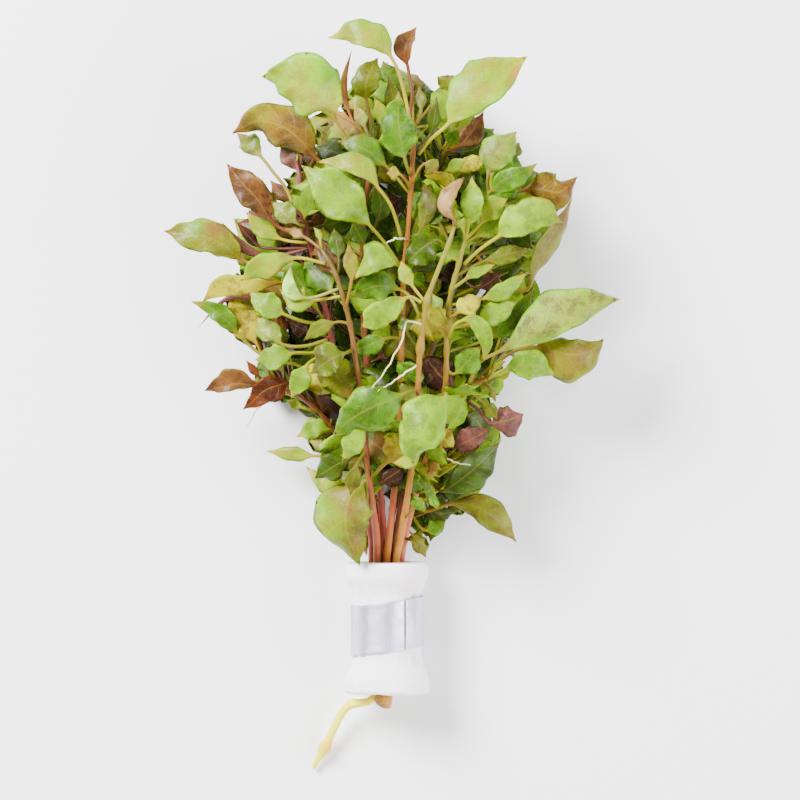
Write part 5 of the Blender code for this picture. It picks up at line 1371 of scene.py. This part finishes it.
def leaf_material(looks):
    """Leaf skin: tint and mottling from the mesh, pale side veins and midrib, fine net between them."""
    n = Nodes("leaf_skin")
    tint, blush = n.tints()
    vein, under = Value(n, n.attribute("vein", "Fac")), Value(n, n.attribute("under", "Fac"))
    axes = n.node("ShaderNodeSeparateXYZ", {}, {0: n.leaf_place()})
    across = abs(Value(n, axes.outputs[0]) * 2.0 - 1.0)
    along = Value(n, axes.outputs[1])
    drift = n.noise(420.0)
    mottle = n.noise(210.0, detail=4.0, roughness=0.66).ease(0.46, 0.60)
    cloud = n.noise(110.0).ease(0.38, 0.66)
    grain = n.noise(1500.0).ease(0.35, 0.75)
    side = (along * SIDE_VEINS - across * VEIN_SLANT + drift * 0.5).fraction()
    rib = 1.0 - abs(side - 0.5).ease(0.0, 0.07)
    rib = rib * (1.0 - across.ease(0.7, 0.95))
    spine = 1.0 - across.ease(0.02, 0.075)
    net = 1.0 - n.cells(700.0).ease(0.02, 0.14)
    lines = (rib * 0.7 + net * 0.3).least(1.0)
    colour = n.mix(mottle * 0.82, tint, blush)
    colour = n.shade(cloud * 0.55, colour, LEAF_SHADE)
    colour = n.toward(lines * vein, colour, colour, LEAF_VEINS)
    colour = n.toward(spine * 0.5, colour, colour, LEAF_SPINE)
    colour = n.shade(grain * 0.25, colour, LEAF_GRAIN)
    colour = n.toward(under * 0.35, colour, blush, LEAF_UNDER)
    rough = looks.gloss + mottle * 0.10 + under * 0.18 - grain * 0.06
    height = (1.0 - rib) * 0.4 + (1.0 - net) * 0.12 + n.noise(700.0, detail=3.0) * 0.5
    return n.finish(height, 0.5, 0.00035, Base_Color=colour, Roughness=rough,
                    Specular_IOR_Level=0.13, Subsurface_Weight=0.08, Subsurface_Radius=(0.5, 1.0, 0.1),
                    Subsurface_Scale=0.0008, Coat_Weight=0.05, Coat_Roughness=0.16)


def stem_material():
    """Stem skin: tint from the mesh, long streaks and fine pits."""
    n = Nodes("stem_skin")
    tint, blush = n.tints()
    lengthwise = n.stretched(n.leaf_place(), (26.0, 9.0, 1.0))
    streak = n.noise(1.0, detail=3.0, roughness=0.6, vector=lengthwise).ease(0.38, 0.64)
    mottle = n.noise(320.0, detail=3.0).ease(0.42, 0.66)
    colour = n.shade(mottle * 0.35, n.mix(streak * 0.5, tint, blush), STEM_SHADE)
    height = streak * 0.6 + n.noise(1100.0) * 0.5
    return n.finish(height, 0.5, 0.0003, Base_Color=colour, Roughness=0.38 + mottle * 0.14,
                    Specular_IOR_Level=0.22, Subsurface_Weight=0.1, Subsurface_Radius=(1.0, 0.6, 0.3),
                    Subsurface_Scale=0.0008, Coat_Weight=0.06, Coat_Roughness=0.3)


def foam_material(looks):
    """White soft foam with fine cells, and painted shade along the sunk edges of the cells."""
    n = Nodes("foam")
    cell = n.cells(1.0 / looks.cell)
    soft = n.noise(160.0, detail=3.0).ease(0.35, 0.7)
    blush = n.noise(60.0, detail=1.0).ease(0.48, 0.68)
    # painted shade: the colour darkens along the cell edges, where the bump sinks lowest
    pits = 1.0 - cell.ease(0.0, 0.25)
    colour = n.mix(soft * 0.5, (*looks.foam, 1.0), FOAM_SOFT)
    colour = n.mix(blush * 0.7, colour, FOAM_BLUSH)
    colour = n.mix(pits * 0.16, colour, FOAM_PIT_SHADE)
    height = cell * 0.7 + n.noise(1300.0, detail=3.0) * 0.5
    return n.finish(height, 0.5, 0.0005, Base_Color=colour, Roughness=0.86 + soft * 0.08,
                    Subsurface_Weight=0.15, Subsurface_Radius=(1.0, 1.0, 1.0), Subsurface_Scale=0.002)


def metal_material(looks):
    """Soft dull metal, rubbed and faintly creased."""
    n = Nodes("strip_metal")
    lengthwise = n.stretched(n.place, (1.0, 0.12, 1.0))
    rub = n.noise(260.0, detail=4.0, roughness=0.6).ease(0.35, 0.7)
    band = n.noise(170.0, roughness=0.6, vector=lengthwise).ease(0.44, 0.58)
    scratch = n.noise(900.0, detail=3.0, roughness=0.7, vector=lengthwise).ease(0.5, 0.7)
    colour = n.shade(rub * 0.5, (*looks.metal, 1.0), METAL_RUB)
    colour = n.mix(band * 0.6, colour, METAL_BAND)
    colour = n.mix(scratch * 0.2, colour, METAL_SCRATCH)
    height = n.noise(120.0, detail=3.0) + scratch * 0.1
    return n.finish(height, 0.35, 0.0006, Base_Color=colour, Metallic=0.82,
                    Roughness=0.42 + rub * 0.16 - scratch * 0.06)


def made_piece(work, name, materials=()):
    """Smooth object made from a working mesh."""
    for face in work.faces:
        face.smooth = True
    mesh = bpy.data.meshes.new(name)
    work.to_mesh(mesh)
    work.free()
    for slot in materials:
        mesh.materials.append(slot)
    piece = bpy.data.objects.new(name, mesh)
    bpy.context.scene.collection.objects.link(piece)
    return piece


class Growth:
    """One piece gathered from skins, each wrapped from a grid."""

    def __init__(self, skins):
        self.mesh = bmesh.new()
        verts, loops = self.mesh.verts.layers, self.mesh.loops.layers
        self.tint = verts.float_color.new("tint")
        self.blush = verts.float_color.new("blush")
        self.vein = verts.float.new("vein")
        self.under = verts.float.new("under")
        self.leaf = loops.uv.new("leaf")
        self.bake = loops.uv.new("OFBake")
        self.side = math.ceil(math.sqrt(skins))
        self.count = 0

    def wrap(self, rings, slot=0):
        """Wrap a grid into one skin through the rings."""
        around, along = len(rings[0]), len(rings) - 1
        made = bmesh.ops.create_grid(self.mesh, x_segments=around, y_segments=along, size=0.5)["verts"]
        column, row = self.count % self.side, self.count // self.side
        self.count += 1
        spots = {}
        for vert in made:
            j, k = round((vert.co.x + 0.5) * around), round((vert.co.y + 0.5) * along)
            point, a, v, tint, blush, vein, under = rings[k][j % around]
            vert.co = point * MM + HOME
            vert[self.tint] = (*tint, 1.0)
            vert[self.blush] = (*blush, 1.0)
            vert[self.vein] = vein
            vert[self.under] = under
            spots[vert] = ((a + 1) / 2, v, j / around, k / along)
        room = 1 - 2 * UV_MARGIN
        for face in {face for vert in made for face in vert.link_faces}:
            face.material_index = slot
            for loop in face.loops:
                a, v, x, y = spots[loop.vert]
                loop[self.leaf].uv = (a, v)
                loop[self.bake].uv = ((column + UV_MARGIN + room * x) / self.side,
                                      (row + UV_MARGIN + room * y) / self.side)
        bmesh.ops.remove_doubles(self.mesh, verts=made, dist=1e-7)

    def done(self, name, materials):
        bmesh.ops.recalc_face_normals(self.mesh, faces=self.mesh.faces)
        piece = made_piece(self.mesh, name, materials)
        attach(piece, "root")
        return piece


def patched(point, colour, share=1.0):
    """The colour with a share of the local patches laid over it."""
    x, y = picture(point)
    for px, py, reach, patch, strength in PATCHES:
        away = (x - px) ** 2 + (y - py) ** 2
        if away < PATCH_FAR * reach * reach:
            colour = colour.lerp(screen(patch), share * strength * math.exp(-away / reach ** 2))
    return colour


def capped(rings, root, tip, ends):
    """The rings with a point at each end; the last ring comes after the tip's and stays open."""
    caps = []
    for point, v, ring in ((root, ends[0], rings[0]), (tip, ends[1], rings[-1])):
        caps.append([(point, 0.0, v, *item[3:]) for item in ring])
    return [caps[0], *rings[:-1], caps[1], rings[-1]]


class LeafSkin:
    """Rings of a leaf: a round stalk that spreads into a thin waved blade."""

    def __init__(self, name, leaf, tone, form, looks):
        self.around, self.shares, self.slim = form
        self.looks = looks
        if name in SHOWN:
            points, widths, belly = SHOWN[name]
            leaf = leaf._replace(points=points, widths=widths, belly=belly)
        self.stations, self.tip = leaf_stations(leaf, self.shares)
        *tones, self.vein = TONES[tone]
        self.blade, self.mottle, self.margin, self.stalk = (screen(c) for c in tones)
        chance = random.Random(name)
        glow = chance.uniform(*BLADE_GLOW)
        warm = chance.uniform(-BLADE_WARM, BLADE_WARM)
        self.shift = Vector((glow * (1 + warm), glow, glow * (1 - warm)))
        self.widest = (leaf.widths[0] + leaf.widths[1]) / 2 * PIXEL
        self.wave = looks.wave * self.widest * chance.uniform(*WAVE_RANGE)
        self.waves = chance.uniform(*BLADE_WAVES)
        self.phases = (chance.uniform(*PHASES), chance.uniform(*PHASES))
        self.twist = looks.twist * chance.uniform(-1, 1)
        self.hook = chance.uniform(*HOOK)
        fine = self.around > YOUNG_FORM[0]
        self.pillow = looks.pillow * min(1.0, self.widest / PILLOW_WIDTH) if fine else 0.0
        self.ragged = 1.0 if fine else YOUNG_RAGGED

    def relief(self, a, t, rise, phase, flat):
        """How high the blade stands at a place across and along it."""
        edge = abs(a)
        high = rise * edge ** 1.5
        if flat > 0:
            high += flat * self.wave * edge ** 1.7 * math.sin(FULL_TURN * self.waves * t + phase)
            quilt = abs(math.sin(math.pi * (SIDE_VEINS * t - VEIN_SLANT * edge + 0.5)))
            high += flat * self.pillow * quilt * (1 - edge ** 3) * min(1.0, 3.5 * edge)
            high -= flat * GROOVE * math.exp(-(a / GROOVE_WIDTH) ** 2) * self.looks.blade_rib
            high -= flat * self.hook * t ** 3
        return high

    def body(self, a, thick, flat):
        """Half thickness at a place across the leaf."""
        rim, rib = self.looks.blade_edge, self.looks.blade_rib
        blade = rim + (rib - rim) * math.exp(-(a / RIB_WIDTH) ** 2)
        if abs(a) > RIM:
            blade = 0.0
        return thick / 2 * self.slim * math.sqrt(max(1 - a * a, 0.0)) * (1 - flat) + blade * flat

    def tones(self, point, a, t, flat):
        """Colours of the skin and of its mottling at a place."""
        edge_most, edge_from, edge_reach = MARGIN_TONE
        tip_most, tip_from, tip_reach = TIP_TONE
        margin = edge_most * ease((abs(a) - edge_from) / edge_reach)
        margin += tip_most * ease((t - tip_from) / tip_reach)
        colour = self.stalk.lerp(self.blade.lerp(self.margin, margin), flat)
        colour = Vector([c * s for c, s in zip(patched(point, colour), self.shift)])
        return colour, patched(point, self.stalk.lerp(self.mottle, flat), PATCH_BLUSH)

    def ring(self, part, t, station):
        p, across, normal, left, right, rise_l, rise_r, thick = station
        flat = ease(((left + right) / 2 - FLAT_FROM) / FLAT_OVER)
        roll = self.twist * flat * (0.3 + t)
        side_way = across * math.cos(roll) + normal * math.sin(roll)
        up = normal * math.cos(roll) - across * math.sin(roll)
        half = self.around // 2
        ring = []
        for j in range(self.around):
            top = j <= half
            a = 1 - 2 * j / half if top else -1 + 2 * (j - half) / half
            reach, rise, phase = ((left, rise_l, self.phases[0]) if a > 0
                                  else (right, rise_r, self.phases[1]))
            reach *= self.slim + (BLADE_FULL - self.slim) * flat
            lobes = sum(size * math.sin(count * t + turns * phase) for size, count, turns in LOBES)
            reach *= 1 + flat * self.ragged * lobes
            body = self.body(a, thick, flat)
            high = self.relief(a, t, rise, phase, flat)
            point = p + side_way * (reach * a) + up * (high + (body if top else -body))
            point.z = max(point.z, SKIN_LOW)
            ring.append((point, a, t if part else 0.0, *self.tones(point, a, t, flat), self.vein * flat,
                         0.0 if top else flat))
        return ring

    def rings(self):
        rings = [self.ring(part, t, station) for (part, t), station in zip(self.shares, self.stations)]
        tip = self.tip.copy()
        tip.z = max(tip.z - (self.hook if self.widest > 2 else 0.0), HOOK_LOW)
        return capped(rings, self.stations[0][0], tip, (rings[0][0][2], 1.0))


def tube_rings(run, radii, tints, around):
    """Rings of a round stem or root along a run."""
    rings = []
    for k, hoop in enumerate(hoops(run, radii, around)):
        for point in hoop:
            point.z = max(point.z, TUBE_LOW)
        rings.append([(point, 2 * j / around - 1, k / len(run), *tints[k], 0.0, 0.0)
                      for j, point in enumerate(hoop)])
    return capped(rings, run[0], run[-1], (rings[0][0][2], rings[-1][0][2]))


def root_rings(name, leaf, looks):
    """Rings of a white root that wanders a little along its run."""
    stations, tip = leaf_stations(leaf, ROOT_FORM)
    line = [station[0] for station in stations] + [tip]
    seed = random.Random(name).uniform(0, 50)
    fineness, size = ROOT_STRAY
    strays = [noise.noise_vector(Vector((seed, k * fineness, 0))) * size for k in range(len(line))]
    moved = line[:2] + [p + stray for p, stray in zip(line[2:], strays[2:])]
    radii = [looks.root_radius * (1.0 - ROOT_TAPER * k / len(line)) for k in range(len(line))]
    tints = [(screen(TONES["root"][0]), screen(TONES["root"][1]))] * len(line)
    return tube_rings(moved, radii, tints, AROUND_ROOT)


def joints_of(name, run, total):
    """Lengths along a stem at which leaves grow."""
    joints = []
    for leaf in bunch().leaves.values():
        if leaf.stem == name:
            s = total[nearest_on(run, *leaf.at)]
            if all(abs(s - other) > JOINT_APART for other in joints):
                joints.append(s)
    return joints


def stem_tones(name, p, share):
    """Colours of a stem's skin and of its streaks at a point."""
    low, middle, high = (screen(c) for c in STEM_TONES[name])
    if p.y < -SLEEVE_LENGTH + 0.5:
        pair = STEM_CUT if name == "stem_crown" else STEM_TAIL
        return screen(pair[0]), screen(pair[1])
    tint = low.lerp(middle, ease(share / 0.4))
    if share >= 0.4:
        tint = middle.lerp(high, ease((share - 0.4) / 0.5))
    return tint, tint * BLUSH_SHADE


def stem_rings(name, looks):
    """Rings of a stem, swollen where leaves grow and thin at its growing tip."""
    run, radii = stem_run(name), stem_radii(name)
    total = lengths(run)
    joints = joints_of(name, run, total)
    count = int(total[-1] / STEM_STEP)
    places = [total[-1] * k / count for k in range(count + 1)]
    places[1:1] = [0.1, 0.3, 0.6]
    places[-1:-1] = [total[-1] - 0.6, total[-1] - 0.2]
    line, sizes, tints = [], [], []
    for s in places:
        p = read_at(run, total, s)
        radius = stem_radius(name, p, s / total[-1])
        swell = sum(math.exp(-((s - j) / JOINT_REACH) ** 2) for j in joints)
        radius += looks.joint * min(swell, JOINT_MOST)
        radius *= 1 + STEM_UNEVEN * noise.noise(Vector((s * 0.2, radii[0], 3.0)))
        radius *= TIP_SIZE + (1 - TIP_SIZE) * ease((total[-1] - s) / TIP_TAPER) ** 0.5
        if name == "stem_low_left":
            radius *= 1 - TAIL_THIN * (1 - ease(s / TAIL_TAPER))
        if name == "stem_crown":
            radius *= 1 + CUT_SWELL * (1 - ease((s - CUT_ROUND) / CUT_ROUND))
            radius *= math.sqrt(max(1 - (1 - min(s / CUT_ROUND, 1.0)) ** 2, 0.1))
        share = min(max(p.y / STEM_RUN, 0.0), 1.0)
        radius *= 1 - STEM_SLIM * ease(share / 0.3)
        tint, blush = stem_tones(name, p, share)
        shade, most = JOINT_SHADE
        line.append(p)
        sizes.append(radius)
        tints.append((patched(p, tint).lerp(tint * shade, most * min(swell, 1.0)), blush))
    return tube_rings(line, sizes, tints, AROUND_STEM)


class BUNCH_OT_large_leaves(bpy.types.Operator):
    """Builds each large leaf in place of its solid"""
    bl_idname = "bunch.large_leaves"
    bl_label = "Large leaves"

    def execute(self, context):
        looks = context.scene.bunch_leaf
        slot = bpy.data.materials.get("leaf_skin") or leaf_material(looks)
        for name in LEAVES:
            leaf = bunch().leaves[name]
            tone = SHOWN_TONES.get(name, leaf.tone)
            growth = Growth(1)
            growth.wrap(LeafSkin(name, leaf, tone, LARGE_FORM, looks).rings())
            piece = growth.done(name + "_blade", [slot])
            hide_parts(name)
        return {"FINISHED"}


class BUNCH_OT_stems(bpy.types.Operator):
    """Builds each stem with its small leaves in place of its solid"""
    bl_idname = "bunch.stems"
    bl_label = "Stems and small leaves"

    def execute(self, context):
        leaf_looks, looks = context.scene.bunch_leaf, context.scene.bunch_stem
        leaf_slot = bpy.data.materials.get("leaf_skin") or leaf_material(leaf_looks)
        stem_slot = stem_material()
        for name in STEMS:
            small = {key: leaf for key, leaf in bunch().leaves.items() if key.startswith(name + ".")}
            growth = Growth(len(small) + 1)
            growth.wrap(stem_rings(name, looks))
            for key, leaf in small.items():
                if leaf.tone == "root":
                    growth.wrap(root_rings(key, leaf, looks))
                    continue
                form = SMALL_FORM if leaf.kind == "small" else YOUNG_FORM
                growth.wrap(LeafSkin(key, leaf, leaf.tone, form, leaf_looks).rings(), 1)
            piece = growth.done(name + "_growth", [stem_slot, leaf_slot])
            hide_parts(name)
        return {"FINISHED"}


class BUNCH_OT_sleeve(bpy.types.Operator):
    """Builds the foam sleeve, drawn in under the strip and pressed flat where it rests"""
    bl_idname = "bunch.sleeve"
    bl_label = "Foam sleeve"

    def profile(self):
        """Half section as (radius, y), from the bore's mouth round the outside and back."""
        r, edge, length = SLEEVE_RADIUS, SLEEVE_EDGE, SLEEVE_LENGTH
        depth = r - SLEEVE_WAIST
        turns = [math.pi / 2 * k / EDGE_STEPS for k in range(EDGE_STEPS + 1)]
        shares = [k / SLOPE_STEPS for k in range(1, SLOPE_STEPS)]
        near = STRIP_CENTRE + STRIP_WIDTH / 2 + STRIP_MARGIN
        far = STRIP_CENTRE - STRIP_WIDTH / 2 - STRIP_MARGIN
        top, foot = SLEEVE_SLOPE
        points = [(SLEEVE_BORE + SLEEVE_LIP, 0.0)]
        points += [(r - edge + edge * math.sin(turn), -edge + edge * math.cos(turn)) for turn in turns]
        points += [(r - depth * ease(share) ** top,
                    -edge - SLEEVE_SHOULDER + (near + edge + SLEEVE_FALL) * share) for share in shares]
        points += [(SLEEVE_WAIST, near + (far - near) * k / EDGE_STEPS) for k in range(EDGE_STEPS + 1)]
        points += [(SLEEVE_WAIST + depth * ease(share) ** foot,
                    far + (-length + edge + SLEEVE_SHOULDER - far) * share) for share in shares]
        points += [(r - edge + edge * math.cos(turn), -length + edge - edge * math.sin(turn))
                   for turn in turns]
        points += [(SLEEVE_BORE + SLEEVE_LIP, -length), (SLEEVE_BORE, -length + SLEEVE_LIP)]
        points += [(SLEEVE_BORE, -length + length * k / BORE_STEPS) for k in range(1, BORE_STEPS)]
        points.append((SLEEVE_BORE, -SLEEVE_LIP))
        return points

    def soften(self, vert, crease_depth):
        """Dent a point of the outside, and crease it beside the strip."""
        out = Vector((vert.co.x, 0.0, vert.co.z))
        if out.length > SLEEVE_BORE + 1.0:
            dent = sum(depth * noise.noise(vert.co * fineness) for depth, fineness in FOAM_DENTS)
            away = abs(vert.co.y - STRIP_CENTRE) - STRIP_WIDTH / 2
            pucker = math.exp(-((away - PUCKER_PLACE) / PUCKER_REACH) ** 2)
            turn = math.atan2(vert.co.z, vert.co.x)
            crease = math.sin(CREASES * turn + 2.5 * noise.noise(out * 0.15))
            crease *= noise.noise(out * 0.3 + Vector((9, 0, 0)))
            dent += crease_depth * pucker * crease
            end = Vector((0, 0.5 * noise.noise(out * 0.2), 0))
            vert.co += out.normalized() * (dent - FOAM_SHRINK) + end

    def execute(self, context):
        looks = context.scene.bunch_sleeve
        work = bmesh.new()
        ring = [work.verts.new((radius, y, 0.0)) for radius, y in self.profile()]
        edges = [work.edges.new((ring[i], ring[(i + 1) % len(ring)])) for i in range(len(ring))]
        bmesh.ops.spin(work, geom=ring + edges, cent=(0, 0, 0), axis=ALONG, angle=2 * math.pi,
                       steps=looks.steps, use_merge=True)
        bmesh.ops.remove_doubles(work, verts=work.verts, dist=1e-4)
        bmesh.ops.recalc_face_normals(work, faces=work.faces)
        for vert in work.verts:
            self.soften(vert, looks.crease)
            x, y, z = vert.co
            vert.co = Vector((x + SLEEVE_AXIS[0], min(y, 0.0), max(z + SLEEVE_AXIS[1], 0.0))) * MM + HOME
        piece = made_piece(work, "foam_sleeve_soft", [foam_material(looks)])
        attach(piece, "root")
        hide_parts("foam_sleeve")
        return {"FINISHED"}


class BUNCH_OT_strip(bpy.types.Operator):
    """Builds the soft metal strip, lapped once round the sleeve and slightly dented"""
    bl_idname = "bunch.strip"
    bl_label = "Metal strip"

    def place(self, share, side):
        """Where a point of the flat strip comes to lie, from its shares along and across."""
        spread = (360.0 + STRIP_LAP) * share
        turn = math.radians(STRIP_START + spread)
        rise = STRIP_LAP * STRIP_RISE
        over = max(0.0, spread - (360.0 - rise))
        radius = STRIP_INNER + STRIP_OFF + STRIP_STEP * min(1.0, over / rise)
        radius += STRIP_DENT * noise.noise(Vector((spread * 0.03, side * 2.2, 1.0)))
        radius += STRIP_CURL * ease((abs(side) - 0.42) / 0.08)
        ragged = STRIP_RAGGED * noise.noise(Vector((spread * 0.05, 7.0, 0)))
        y = STRIP_CENTRE + side * STRIP_WIDTH + STRIP_SKEW * math.cos(turn) + ragged
        return Vector((SLEEVE_AXIS[0] + radius * math.cos(turn), y,
                       max(SLEEVE_AXIS[1] + radius * math.sin(turn), STRIP_LOW)))

    def execute(self, context):
        along, across = STRIP_STEPS
        work = bmesh.new()
        made = bmesh.ops.create_grid(work, x_segments=along, y_segments=across, size=0.5)["verts"]
        for vert in made:
            vert.co = self.place(vert.co.x + 0.5, vert.co.y) * MM + HOME
        bmesh.ops.recalc_face_normals(work, faces=work.faces)
        piece = made_piece(work, "metal_strip_fine", [metal_material(context.scene.bunch_sleeve)])
        wall = piece.modifiers.new("wall", "SOLIDIFY")
        wall.thickness = STRIP_THICKNESS * 0.9 * MM
        wall.offset = 1.0
        soften = piece.modifiers.new("soften", "BEVEL")
        soften.width = STRIP_BEVEL * MM
        soften.segments = 2
        soften.limit_method = "ANGLE"
        soften.angle_limit = math.radians(50)
        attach(piece, "root")
        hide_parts("metal_strip")
        return {"FINISHED"}


class BUNCH_OT_stage(bpy.types.Operator):
    """Lays the pale floor and sets the soft lights and the camera over the bunch"""
    bl_idname = "bunch.stage"
    bl_label = "Stage"

    def light(self, name, place, size, power):
        lamp = bpy.data.lights.new(name, "AREA")
        lamp.shape = "DISK"
        lamp.size = size
        lamp.energy = power
        lit = bpy.data.objects.new(name, lamp)
        lit.location = place
        lit.rotation_euler = (Vector(LIGHT_AIM) - Vector(place)).to_track_quat("-Z", "Y").to_euler()
        bpy.context.scene.collection.objects.link(lit)

    def execute(self, context):
        looks = context.scene.bunch_stage
        n = Nodes("floor")
        tone = n.mix(n.noise(14.0).ease(0.3, 0.7) * 0.04, (*looks.floor, 1.0), FLOOR_TONE)
        n.feed(n.shader.inputs["Base Color"], tone)
        n.feed(n.shader.inputs["Roughness"], 0.9)
        work = bmesh.new()
        bmesh.ops.create_grid(work, x_segments=8, y_segments=8, size=FLOOR_SIZE)
        floor = made_piece(work, "floor", [n.material])
        floor.location.z = -FLOOR_DROP

        self.light("key", KEY_PLACE, KEY_SIZE, looks.key)
        self.light("fill", FILL_PLACE, FILL_SIZE, looks.fill)

        world = bpy.data.worlds.new("even_light")
        context.scene.world = world
        world.use_nodes = True
        sky = world.node_tree.nodes["Background"]
        sky.inputs["Color"].default_value = (1.0, 1.0, 1.0, 1.0)
        sky.inputs["Strength"].default_value = looks.sky

        eye = bpy.data.cameras.new("eye")
        eye.lens = EYE_LENS
        eye.sensor_width = EYE_SENSOR
        eye.clip_start, eye.clip_end = EYE_CLIP
        camera = bpy.data.objects.new("eye", eye)
        camera.location = Vector((*EYE_XY, EYE)) * MM + HOME
        context.scene.collection.objects.link(camera)
        context.scene.camera = camera
        return {"FINISHED"}


class BUNCH_PT_panel(bpy.types.Panel):
    """Lists what the bunch is made of"""
    bl_idname = "BUNCH_PT_panel"
    bl_label = "Alternanthera bunch"
    bl_space_type = "VIEW_3D"
    bl_region_type = "UI"
    bl_category = "Bunch"

    def draw(self, context):
        for operator in OPERATORS:
            self.layout.operator(operator.bl_idname)
        for key in GROUPS:
            looks = getattr(context.scene, key)
            box = self.layout.box()
            for name in looks.__annotations__:
                box.prop(looks, name)


GROUPS = {
    "bunch_leaf": LeafLooks, "bunch_stem": StemLooks, "bunch_sleeve": SleeveLooks,
    "bunch_stage": StageLooks,
}
OPERATORS = (
    BUNCH_OT_large_leaves, BUNCH_OT_stems, BUNCH_OT_sleeve, BUNCH_OT_strip, BUNCH_OT_stage,
)


def register():
    for key, group in GROUPS.items():
        bpy.utils.register_class(group)
        setattr(bpy.types.Scene, key, PointerProperty(type=group))
    for item in (*OPERATORS, BUNCH_PT_panel):
        bpy.utils.register_class(item)


def unregister():
    for item in reversed((*OPERATORS, BUNCH_PT_panel)):
        bpy.utils.unregister_class(item)
    for key, group in GROUPS.items():
        delattr(bpy.types.Scene, key)
        bpy.utils.unregister_class(group)


def main():
    register()
    for operator in OPERATORS:
        group, name = operator.bl_idname.split(".")
        getattr(getattr(bpy.ops, group), name)()


if __name__ == "__main__":
    main()
